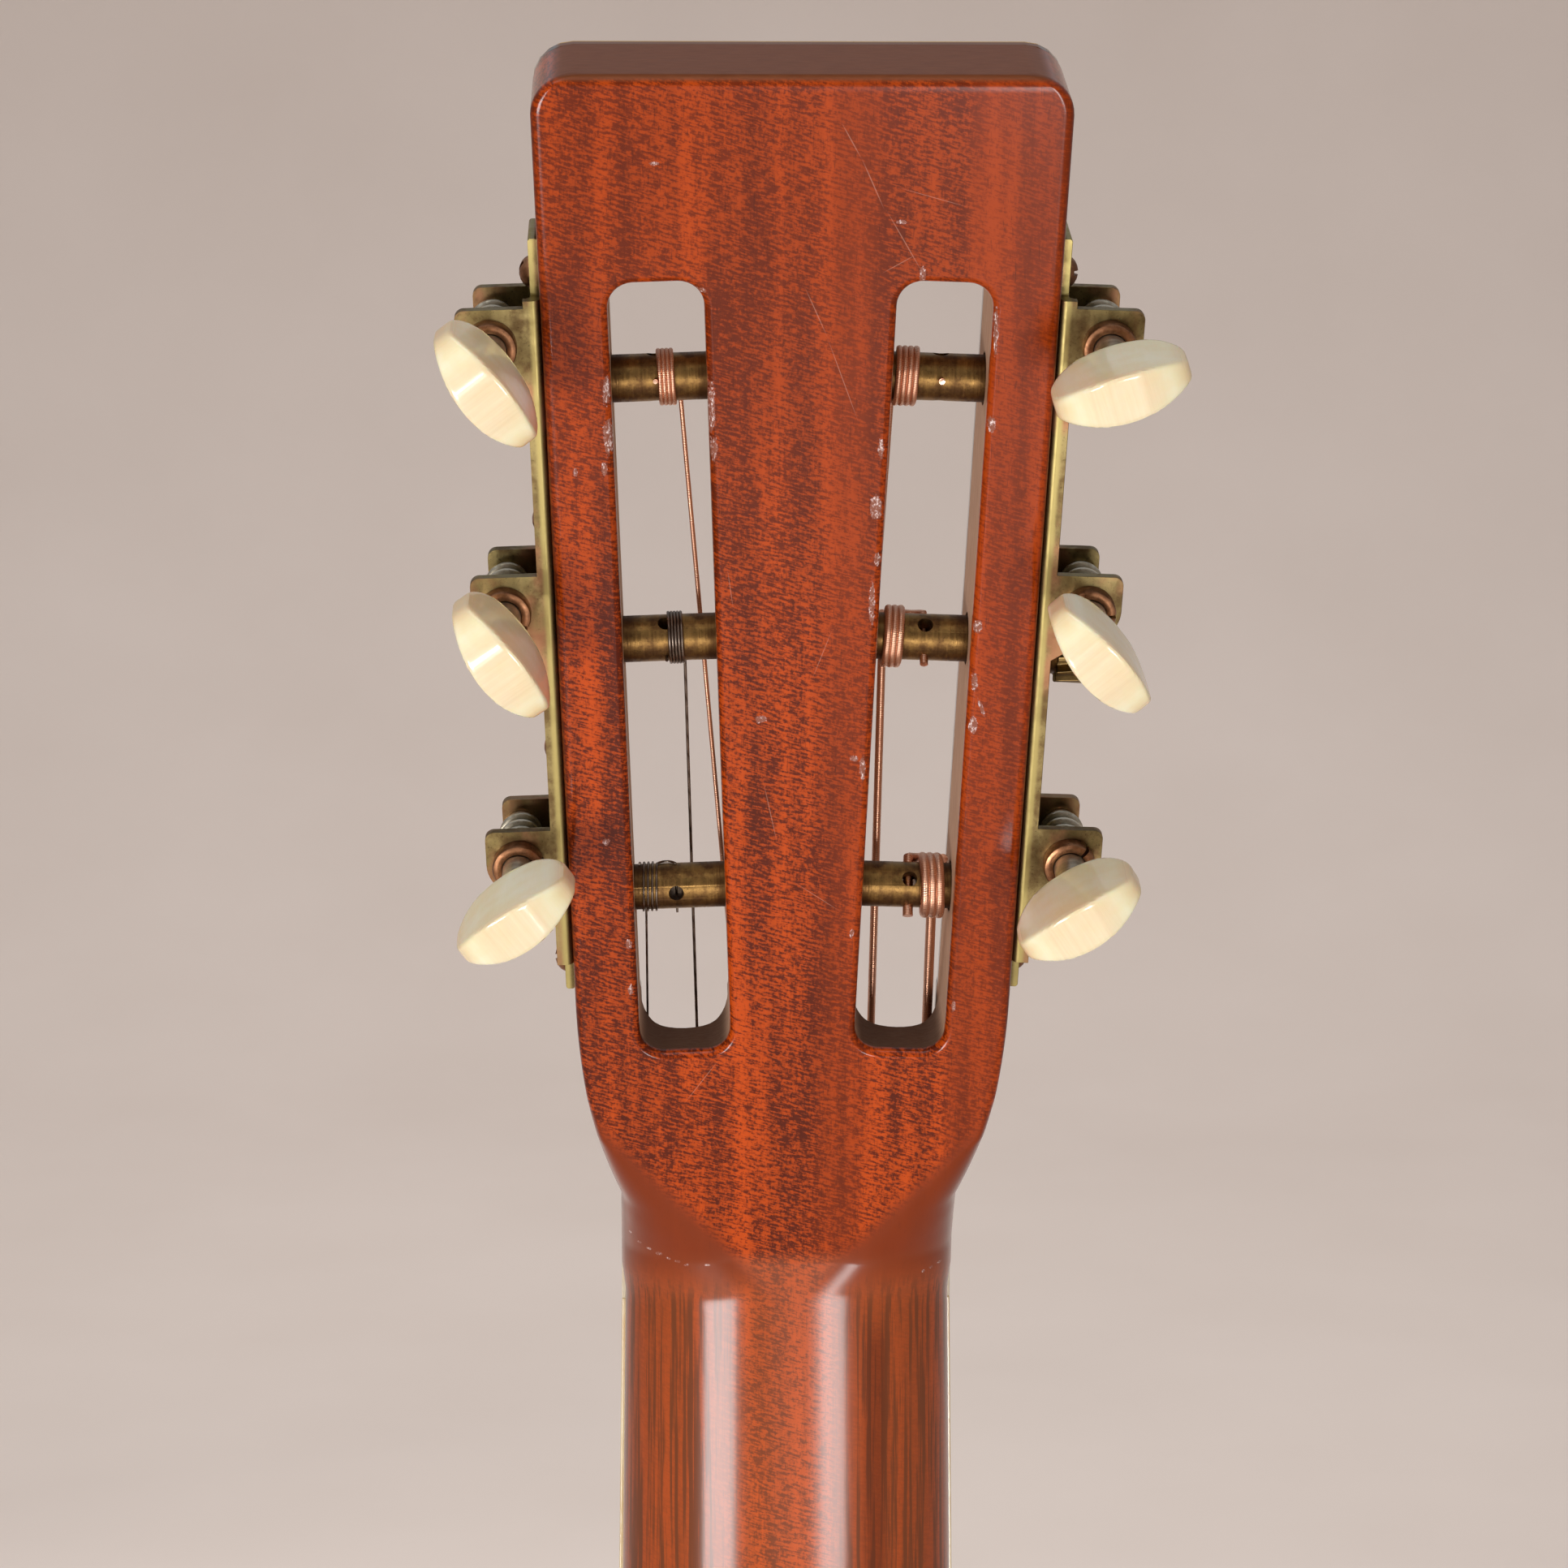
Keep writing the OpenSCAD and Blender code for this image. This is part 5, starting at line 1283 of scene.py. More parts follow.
# %% Neck finish
def build_neck_finish():
    finish, shade, sockets = new_finish("neck_lacquer", specular_ior_level=0.05,
                                        coat_roughness=0.15, coat_ior=1.36)
    place, straight = shade.place(HEAD_TILT), shade.place()
    w, h, s, side, out = beside_edge(shade, place)
    x, y, z = shade.parts(straight)
    on_head, facet, weave, lines = figure_shares(shade, w, s, side, x, z)
    along = shade.add("Mix", {0: on_head, 4: straight, 5: place}, 1, data_type="VECTOR")
    colour, height = shade.effect(mahogany, {"Place": along, "Weave": weave, "Lines": lines})
    # the shaft is paler and browner than the head, and a dark streak runs down its bass side
    colour = shade.mix(shade.times(shade.minus(1.0, on_head), 0.22), colour, tone(208, 122, 76))
    streak = shade.ramp(shade.absolute(shade.plus(x, 11.6)), 0.4, 2.6, 0.5, 0.0)
    streak = shade.times(streak, shade.ramp(z, -6.0, -14.0))
    colour = shade.mix(streak, colour, tone(84, 32, 14))
    # the scooped facets are plain brown, made darker as painted shade
    colour = shade.mix(shade.times(facet, 0.8), colour, tone(124, 50, 18))
    # the end shows darker end grain
    end_grain = shade.ramp(s, HEAD_LEN - 0.9, HEAD_LEN - 0.2)
    fine = shade.noise(place, (0.35, 1.6, 1.0), 4, 0.6)
    end_wood = shade.mix(fine, tone(104, 52, 24), tone(136, 78, 46))
    colour = shade.mix(end_grain, colour, end_wood)
    # the outer edges get painted shade: the dark of their rounded edge beside the plates
    edge_shade = shade.times(shade.ramp(out, -0.7, -0.05, 0.0, 0.6), on_head)
    colour = shade.mix(edge_shade, colour, tone(92, 34, 12))
    colour, inner = slot_walls(shade, place, colour, h, s, out)
    colour = worn(shade, place, straight, colour, h, y)
    ripple = shade.noise(place, (0.35, 0.35, 0.16), 2, 0.5)
    relief = shade.times_plus(height, 0.02, shade.times(ripple, 0.45))
    dress(shade, sockets, colour, shade.ramp(inner, 0, 1, 0.3, 0.65), relief, 0.05)
    coat = shade.times_plus(end_grain, -0.8, shade.times_plus(inner, -0.85, 0.85))
    shade.tree.links.new(coat, sockets["Coat Weight"])
    return finish


neck_finish = build_neck_finish()
print("finish:", neck_finish.name, "with", len(neck_finish.node_tree.nodes), "nodes")

# %% [markdown]
# ## The body's mahogany
# The back has the same wood and lacquer as the neck, with its grain along the body. Each bent side
# has its grain along the bend, so its place is stored on the mesh as the distance round the
# outline.

# %% Back and side finishes
def build_body_finish(name, place_of, weave, lines):
    finish, shade, sockets = new_finish(name, specular_ior_level=0.05, coat_weight=0.6,
                                        coat_roughness=0.3, coat_ior=1.36)
    place = place_of(shade)
    colour, height = shade.effect(mahogany, {"Place": place, "Weave": weave, "Lines": lines})
    wear = shade.ramp(shade.noise(place, (0.02, 0.02, 0.013), 4, 0.6), 0.35, 0.7, 0.74, 1.05)
    colour = shade.mix(1.0, colour, shade.grey(wear), "MULTIPLY")
    dress(shade, sockets, colour, shade.ramp(wear, 0.74, 1.05, 0.36, 0.27), height, 0.012)
    return finish


back_finish = build_body_finish("back_lacquer", lambda shade: shade.place(), 0.5, 0.55)
side_finish = build_body_finish("side_lacquer", lambda shade: shade.own_place(), 0.45, 0.6)
print("body finishes:", back_finish.name, side_finish.name)

# %% [markdown]
# ## Straight-grained woods
# Spruce, rosewood and ebony are all straight-grained: dark lines along the piece with soft colour
# changes between them and short pores. They differ in their colours, in how close the lines stand
# and in how clear they are, so one group serves them all.

# %% Straight grain group
def build_straight_grain():
    group, enter, leave = new_effect(
        "straight grain",
        [("Place", "Vector"), ("Light", "Color"), ("Dark", "Color"), ("Lines per mm", "Float"),
         ("Contrast", "Float"), ("Pores", "Float")], [("Color", "Color"), ("Height", "Float")])
    shade = Shading(group)
    place = enter["Place"]
    x = shade.parts(place)[0]
    drift = shade.noise(place, (0.05, 0.05, 0.006), 3, 0.5)
    phase = shade.times(shade.times_plus(drift, 9.0, x), enter["Lines per mm"])
    wander = shade.noise(place, (0.4, 0.4, 0.01), 2, 0.5)
    rings = shade.math("FRACT", shade.times_plus(wander, 0.9, phase))
    late = shade.times(shade.ramp(rings, 0.35, 0.95), shade.ramp(rings, 1.0, 0.93))
    cloud = shade.noise(place, (0.06, 0.08, 0.012), 4, 0.6)
    share = shade.times(late, enter["Contrast"])
    share = shade.times_plus(shade.ramp(cloud, 0.35, 0.7), 0.4, share)
    colour = shade.mix(share, enter["Light"], enter["Dark"])
    pores = shade.ramp(shade.noise(place, (3.8, 2.6, 0.22), 3, 0.6), 0.6, 0.68)
    pores = shade.times(pores, enter["Pores"])
    colour = shade.mix(pores, colour, tone(14, 9, 6))
    group.links.new(colour, leave["Color"])
    group.links.new(shade.times_plus(pores, -1.0, shade.times(late, 0.3)), leave["Height"])
    return group


straight_grain = build_straight_grain()
print("group:", straight_grain.name, "with", len(straight_grain.nodes), "nodes")

# %% [markdown]
# ## Rosewood, ebony and bare wood
# The fingerboard is oiled rosewood, the bridge and the heel cap are ebony, and inside the body the
# wood has no finish at all. They differ only in the numbers that they give to the group.

# %% Woods without a figure
def build_wood(name, light, dark, per_mm, contrast, pores, depth, **plain):
    finish, shade, sockets = new_finish(name, **plain)
    colour, height = shade.effect(straight_grain, {
        "Place": shade.place(), "Light": light, "Dark": dark, "Lines per mm": per_mm,
        "Contrast": contrast, "Pores": pores})
    dress(shade, sockets, colour, None, height, depth)
    return finish


rosewood_finish = build_wood("rosewood_oiled", tone(82, 46, 30), tone(36, 19, 13), 0.45, 0.7, 0.7,
                             roughness=0.42, depth=0.05)
ebony_finish = build_wood("ebony_polished", tone(40, 31, 27), tone(16, 12, 10), 0.6, 0.5, 0.5,
                          roughness=0.3, depth=0.03)
inner_finish = build_wood("mahogany_bare", tone(170, 108, 72), tone(122, 72, 46), 0.3, 0.5, 0.4,
                          roughness=0.75, depth=0.06)
brace_finish = build_wood("spruce_bare", tone(222, 188, 138), tone(188, 142, 92), 0.8, 0.55, 0.1,
                          roughness=0.7, depth=0.05)
print("woods:", [f.name for f in (rosewood_finish, ebony_finish, inner_finish, brace_finish)])

# %% [markdown]
# ## Spruce
# The soundboard is aged spruce with two dark lines inlaid along its edge. The mesh stores how far
# each point lies from the edge, so the lines follow the outline. Silk, the pale flecks across the
# grain, shows where the board was split true.

# %% Soundboard finish
def between(shade, value, low, high, soft=0.06):
    """1 while value lies between low and high."""
    return shade.times(shade.ramp(value, low - soft, low + soft),
                      shade.ramp(value, high + soft, high - soft))


def build_soundboard_finish():
    finish, shade, sockets = new_finish("spruce_lacquer", roughness=0.32, coat_weight=0.8,
                                        coat_roughness=0.07)
    place = shade.place()
    colour, height = shade.effect(straight_grain, {
        "Place": place, "Light": tone(222, 160, 88), "Dark": tone(186, 112, 52),
        "Lines per mm": 0.72, "Contrast": 0.75, "Pores": 0.0})
    silk = shade.ramp(shade.noise(place, (0.16, 0.3, 1.3), 3, 0.6), 0.52, 0.72, 0.0, 0.28)
    colour = shade.mix(silk, colour, tone(240, 190, 122))
    inset = shade.add("Attribute", {}, "Fac", attribute_name="inset")
    lines = shade.plus(between(shade, inset, 0.35, 0.85), between(shade, inset, 1.35, 1.85))
    colour = shade.mix(lines, colour, tone(40, 22, 14))
    colour = shade.mix(between(shade, inset, 0.85, 1.35), colour, tone(226, 192, 132))
    age = shade.ramp(shade.noise(place, (0.014, 0.014, 0.01), 3, 0.5), 0.3, 0.7, 0.84, 1.03)
    colour = shade.mix(1.0, colour, shade.grey(age), "MULTIPLY")
    dress(shade, sockets, colour, shade.ramp(silk, 0, 0.28, 0.34, 0.28), height, 0.02)
    return finish


spruce_finish = build_soundboard_finish()
print("finish:", spruce_finish.name)

# %% [markdown]
# ## Rosette strips
# The rosette is rings of dark and pale strips with a chequered ring in the middle. They are drawn
# from the distance to the soundhole's centre and the angle round it, which keeps every strip even.

# %% Rosette finish
def build_rosette_finish():
    finish, shade, sockets = new_finish("rosette_inlay", roughness=0.3, coat_weight=0.8,
                                        coat_roughness=0.07)
    x, y, z = shade.parts(shade.place())
    up = shade.minus(z, HOLE_Z)
    radius = shade.math("SQRT", shade.times_plus(x, x, shade.times(up, up)))
    angle = shade.math("ARCTAN2", up, x)
    start = HOLE_R + ROSETTE_IN
    dark, pale = tone(34, 20, 13), tone(222, 186, 128)
    colour = shade.mix(shade.noise(shade.place(), (0.5, 1, 0.5), 3, 0.6), tone(96, 46, 24),
                       tone(132, 70, 38))
    for low, high in ((0, 0.5), (1.0, 1.5), (2.0, 2.5), (6.5, 7.0), (7.5, 8.0), (8.5, 9.1)):
        colour = shade.mix(between(shade, radius, start + low, start + high), colour, dark)
    for low, high in ((0.5, 1.0), (1.5, 2.0), (7.0, 7.5), (8.0, 8.5)):
        colour = shade.mix(between(shade, radius, start + low, start + high), colour, pale)
    steps_round = shade.math("FRACT", shade.times_plus(angle, 180 / math.tau, 0.5))
    rows = shade.math("FRACT", shade.times(shade.minus(radius, start), 0.5))
    check = shade.absolute(shade.minus(shade.math("GREATER_THAN", steps_round, 0.5),
                                       shade.math("GREATER_THAN", rows, 0.5)))
    middle = between(shade, radius, start + 3.5, start + 5.5)
    colour = shade.mix(middle, colour, shade.mix(check, dark, pale))
    dress(shade, sockets, colour, shade.ramp(check, 0, 1, 0.32, 0.28))
    return finish


rosette_finish = build_rosette_finish()
print("finish:", rosette_finish.name)

# %% [markdown]
# ## Head veneer
# A dark veneer covers the front of the headstock. Its edge shows as a brown line with a thin
# golden one at the front corner, where the lacquer has yellowed.

# %% Head veneer finish
def build_veneer_finish():
    finish, shade, sockets = new_finish("veneer_lacquer", specular_ior_level=0.1,
                                        coat_roughness=0.05)
    place = shade.place(HEAD_TILT)
    _, h, s, _, out = beside_edge(shade, place)
    colour, height = shade.effect(straight_grain, {
        "Place": place, "Light": tone(98, 58, 38), "Dark": tone(44, 24, 16), "Lines per mm": 0.35,
        "Contrast": 0.75, "Pores": 0.6})
    front = -HEAD_THICK - VENEER
    rim = shade.ramp(h, front + 0.75, front + 0.35)
    at_edge = shade.math("MAXIMUM", shade.ramp(out, -0.5, -0.2),
                         shade.ramp(s, HEAD_LEN - 0.6, HEAD_LEN - 0.2))
    edge_wood = shade.times(shade.ramp(h, front + 0.1, -HEAD_THICK - 1), at_edge)
    colour = shade.mix(edge_wood, colour, tone(122, 78, 54))
    gold = shade.times(shade.times(rim, at_edge), shade.ramp(h, front + 0.02, front + 0.12))
    colour = shade.mix(gold, colour, tone(214, 164, 84))
    rough = shade.ramp(shade.noise(place, (0.1,) * 3), 0.3, 0.7, 0.26, 0.34)
    dress(shade, sockets, colour, rough, height, 0.008)
    shade.tree.links.new(shade.times_plus(at_edge, -0.75, 1.0), sockets["Coat Weight"])
    return finish


veneer_finish = build_veneer_finish()
print("finish:", veneer_finish.name)

# %% [markdown]
# ## Cream plastic and bone
# Old cream celluloid is never even: it has pale and amber clouds, fine streaks from the block that
# it was sliced from, and it darkens towards the edges. Bone has the same look with short pores.
# One group gives the clouds and streaks, and each finish sets its own colours.

# %% Cream group
def build_cream():
    group, enter, leave = new_effect(
        "cream clouds",
        [("Place", "Vector"), ("Pale", "Color"), ("Amber", "Color"), ("Age", "Float")],
        [("Color", "Color"), ("Height", "Float")])
    shade = Shading(group)
    place = enter["Place"]
    cloud = shade.ramp(shade.noise(place, (0.16, 0.22, 0.2), 3, 0.55), 0.36, 0.68)
    streaks = shade.noise(place, (2.6, 0.35, 0.12), 3, 0.6)
    share = shade.times_plus(cloud, 0.55, shade.times(streaks, 0.4))
    share = shade.times(share, enter["Age"])
    group.links.new(shade.mix(share, enter["Pale"], enter["Amber"]), leave["Color"])
    group.links.new(streaks, leave["Height"])
    return group


cream = build_cream()
print("group:", cream.name, "with", len(cream.nodes), "nodes")

# %% [markdown]
# ## Buttons, bindings and bone
# A button is amber at its two tips and shows the edges of its layers at its outer end, which is
# also painted a darker cream as painted shade. The bindings, the bone and the shell dots are the
# same clouds in other colours.

# %% Button, binding and bone finishes
def build_button_finish():
    finish, shade, sockets = new_finish("button_celluloid", roughness=0.22, coat_weight=0.6,
                                        coat_roughness=0.08, subsurface_weight=0.25,
                                        subsurface_scale=0.004)
    place = shade.own_place()
    x, y, z = shade.parts(place)
    colour, height = shade.effect(cream, {"Place": place, "Pale": tone(255, 247, 216),
                                          "Amber": tone(246, 222, 156), "Age": 0.7})
    tip = shade.ramp(shade.absolute(x), 6.2, 8.8, 0.0, 0.5)
    colour = shade.mix(tip, colour, tone(232, 184, 128))
    # the outer end shows its layers, in a darker cream that is also painted shade
    end = shade.ramp(y, 4.6, 5.9, 0.0, 0.7)
    colour = shade.mix(end, colour, shade.mix(shade.noise(place, (2.4, 0.3, 0.1), 3, 0.6),
                                              tone(226, 196, 152), tone(248, 230, 196)))
    dress(shade, sockets, colour, shade.ramp(tip, 0, 0.5, 0.2, 0.3), height, 0.012)
    return finish


def build_cream_finish(name, pale, amber, age, **plain):
    finish, shade, sockets = new_finish(name, **plain)
    colour, height = shade.effect(cream, {"Place": shade.place(), "Pale": pale, "Amber": amber,
                                          "Age": age})
    dress(shade, sockets, colour, None, height, 0.015)
    return finish


button_finish = build_button_finish()
binding_finish = build_cream_finish("binding_celluloid", tone(246, 228, 184),
                                    tone(216, 170, 100), 0.7, roughness=0.25, coat_weight=0.6,
                                    coat_roughness=0.08)
bone_finish = build_cream_finish("bone_polished", tone(240, 230, 204), tone(206, 178, 128), 0.6,
                                 roughness=0.33, subsurface_weight=0.1, subsurface_scale=0.002)
dot_finish = build_cream_finish("shell_dots", tone(244, 243, 236), tone(206, 214, 208), 1.0,
                                roughness=0.18, coat_weight=0.5)
print("cream finishes:", [f.name for f in (button_finish, binding_finish, bone_finish, dot_finish)])

# %% [markdown]
# ## Old metal
# The tuners are bare brass and steel that has gone dull. Handling leaves the raised places bright,
# and the rest turns brown, with rings from turning and grime in the hollows. The group mixes
# bright metal, tarnish and grime by noises, and gives a roughness and a fine relief with them.

# %% Old metal group
def build_old_metal():
    group, enter, leave = new_effect(
        "old metal",
        [("Place", "Vector"), ("Bright", "Color"), ("Tarnish", "Color"), ("Age", "Float"),
         ("Grain", "Vector")],
        [("Color", "Color"), ("Roughness", "Float"), ("Height", "Float")])
    shade = Shading(group)
    place = enter["Place"]
    cloud = shade.noise(place, (0.3, 0.3, 0.3), 5, 0.62)
    speckle = shade.noise(place, (2.6, 2.6, 2.6), 3, 0.6)
    brushed = shade.add("VectorMath", {0: place, 1: enter["Grain"]}, operation="MULTIPLY")
    lines = shade.add("TexNoise", {"Vector": brushed, "Scale": 1.0, "Detail": 3.0})
    tarnished = shade.times(shade.ramp(cloud, 0.38, 0.66), enter["Age"])
    colour = shade.mix(tarnished, enter["Bright"], enter["Tarnish"])
    dark = shade.times(shade.ramp(speckle, 0.56, 0.72, 0.0, 0.55), enter["Age"])
    colour = shade.mix(dark, colour, tone(52, 36, 24))
    brushing = shade.ramp(lines, 0.3, 0.7, 0.82, 1.12)
    colour = shade.mix(1.0, colour, shade.grey(brushing), "MULTIPLY")
    rough = shade.times_plus(tarnished, 0.18, shade.ramp(lines, 0.3, 0.7, 0.3, 0.42))
    group.links.new(colour, leave["Color"])
    group.links.new(rough, leave["Roughness"])
    group.links.new(shade.times_plus(speckle, 0.5, lines), leave["Height"])
    return group


old_metal = build_old_metal()
print("group:", old_metal.name, "with", len(old_metal.nodes), "nodes")

# %% [markdown]
# ## Brass, copper and steel
# Each metal piece wears in its own way. The plates blush like copper and shine along a rubbed
# edge, the worms keep black grease in the thread, and the rollers are brown where they run in the
# wood. These marks go over the shared old metal.

# %% Metal finishes
def build_metal(name, bright, tarnish, age, grain, extra=None, depth=0.012, own=True):
    finish, shade, sockets = new_finish(name, metallic=1.0)
    place = shade.own_place() if own else shade.place()
    colour, rough, height = shade.effect(old_metal, {
        "Place": place, "Bright": bright, "Tarnish": tarnish, "Age": age, "Grain": grain})
    if extra:
        colour = extra(shade, place, colour)
    dress(shade, sockets, colour, rough, height, depth)
    return finish


def plate_marks(shade, place, colour):
    """Copper blushes, and a bright line where the rear edge has been rubbed."""
    blush = shade.ramp(shade.noise(place, (0.14, 0.2, 0.1), 3, 0.6), 0.48, 0.66, 0.0, 0.75)
    colour = shade.mix(blush, colour, tone(160, 112, 84))
    out = shade.parts(place)[0]
    return shade.mix(between(shade, out, 0.5, 1.3, 0.3), colour, tone(166, 150, 96))


def groove_grime(shade, place, colour):
    """Dark grease deep in the thread."""
    x, y, z = shade.parts(place)
    radius = shade.math("SQRT", shade.times_plus(x, x, shade.times(z, z)))
    in_thread = shade.ramp(shade.absolute(y), THREAD_LEN / 2 + 0.3, THREAD_LEN / 2 - 0.3)
    deep = shade.ramp(radius, THREAD_R - 0.25, CORE_R + 0.2, 0.0, 0.92)
    grime = shade.times(deep, in_thread)
    return shade.mix(grime, colour, tone(30, 25, 18))


def roller_ends(shade, place, colour):
    """Brown where the roller runs in the wood, golden and rubbed between."""
    x = shade.parts(place)[0]
    middle = between(shade, x, -RAIL - SLOT_W + 1.4, -RAIL - 1.4, 1.2)
    return shade.mix(shade.times_plus(middle, -0.55, 0.7), colour, tone(74, 48, 30))


plate_finish = build_metal("plate_brass", tone(142, 126, 84), tone(100, 78, 50), 0.9,
                           (0.6, 2.4, 0.1), plate_marks)
bush_finish = build_metal("bush_copper", tone(176, 126, 92), tone(112, 76, 52), 0.8,
                          (1.5, 1.5, 1.5), own=False)
gear_finish = build_metal("gear_brass", tone(140, 116, 74), tone(80, 60, 40), 0.9,
                          (0.2, 2.0, 2.0))
roller_finish = build_metal("roller_brass", tone(150, 116, 66), tone(84, 58, 38), 0.9,
                            (4.5, 0.15, 0.15), roller_ends, 0.03)
steel_finish = build_metal("worm_steel", tone(214, 208, 190), tone(150, 136, 110), 0.5,
                           (0.3, 3.0, 0.3), groove_grime)
fret_finish = build_metal("fret_silver", tone(206, 202, 190), tone(150, 142, 124), 0.4,
                          (0.1, 3.0, 3.0), own=False)
bar_finish = build_metal("bar_steel", tone(150, 150, 148), tone(92, 84, 76), 0.7,
                         (0.4, 0.4, 0.05), own=False)
print("metals:", [f.name for f in (plate_finish, bush_finish, gear_finish, roller_finish,
                                   steel_finish, fret_finish, bar_finish)])

# %% [markdown]
# ## Strings
# A plain string is drawn steel. A wound string has a fine bronze wire coiled round a steel core,
# which shows as close ribs across the string. A coil of real geometry would need millions of
# faces, so the ribs are a relief from the length stored along each string, with a painted
# highlight on each crest and painted shade in each groove.

# %% String finishes
def build_string_finish(name, bright, dark, ribs_per_mm, depth):
    finish, shade, sockets = new_finish(name, metallic=1.0)
    along = shade.times(shade.add("Attribute", {}, "Fac", attribute_name="along"), 1000.0)
    round_share = shade.add("Attribute", {}, "Fac", attribute_name="round")
    turn = shade.times_plus(along, ribs_per_mm, round_share)
    rib = shade.absolute(shade.math("SINE", shade.times(turn, math.pi)))
    tarnish = shade.noise(shade.place(), (0.25, 0.25, 0.25), 4, 0.6)
    # each rib is painted bright on its crest and dark in its groove: painted highlight and shade
    shine = shade.times(rib, shade.ramp(tarnish, 0.2, 0.7, 1.0, 0.6))
    colour = shade.mix(shine, dark, bright)
    dress(shade, sockets, colour, shade.ramp(tarnish, 0.3, 0.7, 0.22, 0.38), rib, depth)
    return finish


steel_wire_finish = build_string_finish("string_steel", tone(150, 136, 124), tone(84, 70, 60),
                                        0.35, 0.002)
wrap_finish = build_string_finish("string_bronze", tone(250, 205, 176), tone(190, 128, 98),
                                  4.6, 0.025)
print("strings:", steel_wire_finish.name, wrap_finish.name)

# %% [markdown]
# ## Floor paint
# The floor is matt paint with faint slow clouds, so that it stays quiet behind the guitar.

# %% Floor finish
def build_floor_finish():
    finish, shade, sockets = new_finish("floor_paint")
    cloud = shade.noise(shade.place(), (0.004,) * 3, 3, 0.5)
    dress(shade, sockets, shade.mix(cloud, tone(214, 200, 190), tone(222, 209, 200)),
          shade.ramp(cloud, 0.3, 0.7, 0.78, 0.86))
    return finish


floor_finish = build_floor_finish()
print("all finishes:", len(bpy.data.materials))

# %% [markdown]
# ## Plate screws
# The plate screws are small domed heads with a slot. One head is made once, and the node group
# puts it at eight places, each with its slot turned another way, because nobody lines screws up.

# %% Plate screws
def screw_blank():
    """A domed head with a slot, standing on the plate with its axis along x."""
    profile = [(2.0, 0), (2.0, 0.12), (1.93, 0.3), (1.75, 0.62), (1.4, 0.95), (0.9, 1.22),
               (0.35, 1.37)]
    turns = [2 * math.pi * j / 32 for j in range(32)]
    rings = [[Vector((x, r * math.cos(a), r * math.sin(a))) * MM for a in turns]
             for r, x in profile]
    head = loft("screw blank", rings)
    slot_points = [(0.75, -0.28), (0.75, 0.28), (2, 0.28), (2, -0.28)]
    slot_rings = [[Vector((x, y, z)) * MM for x, z in slot_points] for y in (-3, 3)]
    return smooth(cut(head, loft("screw slot", slot_rings)), 30)


PLATE_T = 1.2
SCREW_UPS = [ROLLER_UP - 9.7, ROLLER_UP + 20.5, ROLLER_UP + ROLLER_STEP + 16.8,
             ROLLER_UP + 2 * ROLLER_STEP + 14.3]
SCREW_SPIN = [12, 75, 140, 52, 98, 33, 160, 5]
places = []
for side in (1, -1):
    for k, up in enumerate(SCREW_UPS):
        at = edge_matrix(side) @ Matrix.Translation((PLATE_T, -ROLLER_DEEP, up))
        outwards = (edge_matrix(side).to_3x3() @ Vector((1, 0, 0))).normalized()
        turn = outwards.to_track_quat("X", "Z")
        spin = math.radians(SCREW_SPIN[k + (4 if side < 0 else 0)])
        turn = turn @ Matrix.Rotation(spin, 3, "X").to_quaternion()
        places.append((at.translation, turn.to_euler(), (1, 1, 1)))
screws = repeat("plate_screw_heads", screw_blank(), places, bush_finish)
print(len(places), "screws:", len(screws.data.polygons), "faces")

# %% [markdown]
# ## Frets
# Every fret is cut from one crowned wire, as long as the fingerboard is wide at its place. So the
# group stretches one blank, and its ends stay filed back.

# %% Frets
def fret_blank():
    """One crowned wire a metre long, with ends filed back, lying along x."""
    rings = []
    for x, low in ((-0.5, 0.35), (-0.4965, 0.12), (-0.494, 0),
                   (0.494, 0), (0.4965, 0.12), (0.5, 0.35)):
        arc = [math.radians(a) for a in range(-80, 81, 16)]
        ring = [(1.1 * math.sin(a), -(1.12 - low) * math.cos(a) + 0.1) for a in arc]
        ring += [(1.1, 0.2), (-1.1, 0.2)]
        rings.append([(x, y * MM, z * MM) for z, y in ring])
    return smooth(loft("fret blank", [[Vector(p) for p in ring] for ring in rings]), 40)


places = []
for n in range(1, FRET_COUNT + 1):
    z = fret_z(n)
    places.append(((0, (-NECK_T - BOARD_T) * MM, z * MM), (0, 0, 0),
                   (2 * (neck_half(z) - 0.3) * MM, 1, 1)))
frets = repeat("fret_wires", fret_blank(), places, fret_finish)
print(len(places), "frets:", len(frets.data.polygons), "faces")

# %% [markdown]
# ## Turns on the rollers
# A string's turns are a spiral that lies side by side on the roller, and the last turn leads
# across into the roller's hole. Each winding is its own piece, because it turns with its roller.

# %% Strings and their turns
def winding_path(n, fine=28):
    """A spiral on roller n in the guitar's frame, ending in the roller's hole."""
    r, count = wind_radius(n), WIND_TURNS[n - 1]
    to_row = roller_matrix(n)
    near, pitch = WIND_NEAR[n - 1], WIND_STEP[n - 1]
    inwards = HOLE_IN > near + pitch * count / 2
    hole = math.radians(90 + HOLE_TURN[n - 1])
    path = []
    total = int(fine * count)
    for i in range(total + 1):
        share = i / total
        along = near + pitch * (count - 1) * (share if inwards else 1 - share)
        a = hole - 2 * math.pi * count * (1 - share)
        path.append((along, r, a))
    # the end crosses to the hole in a quarter turn and dives into it
    last = path[-1][0]
    for i in range(1, 11):
        t = i / 10
        path.append((last + (HOLE_IN - last) * t, r + TAIL_LIFT[n - 1] * math.sin(math.pi * t),
                     hole + 0.9 * t - 0.9 * t * t))
    path += [(HOLE_IN, r - 0.8, hole), (HOLE_IN, 0.0, hole), (HOLE_IN, -r - 0.6, hole)]
    return [to_row @ Vector((-x, q * math.cos(a), q * math.sin(a))) for x, q, a in path]


def string_runs(name, numbers, sides):
    """The straight runs of some strings as one piece."""
    return join(*[wire(name if n == numbers[0] else "more", [p * MM for p in runs[n]],
                       STRING_R[n - 1], string_finish[n], sides) for n in numbers])


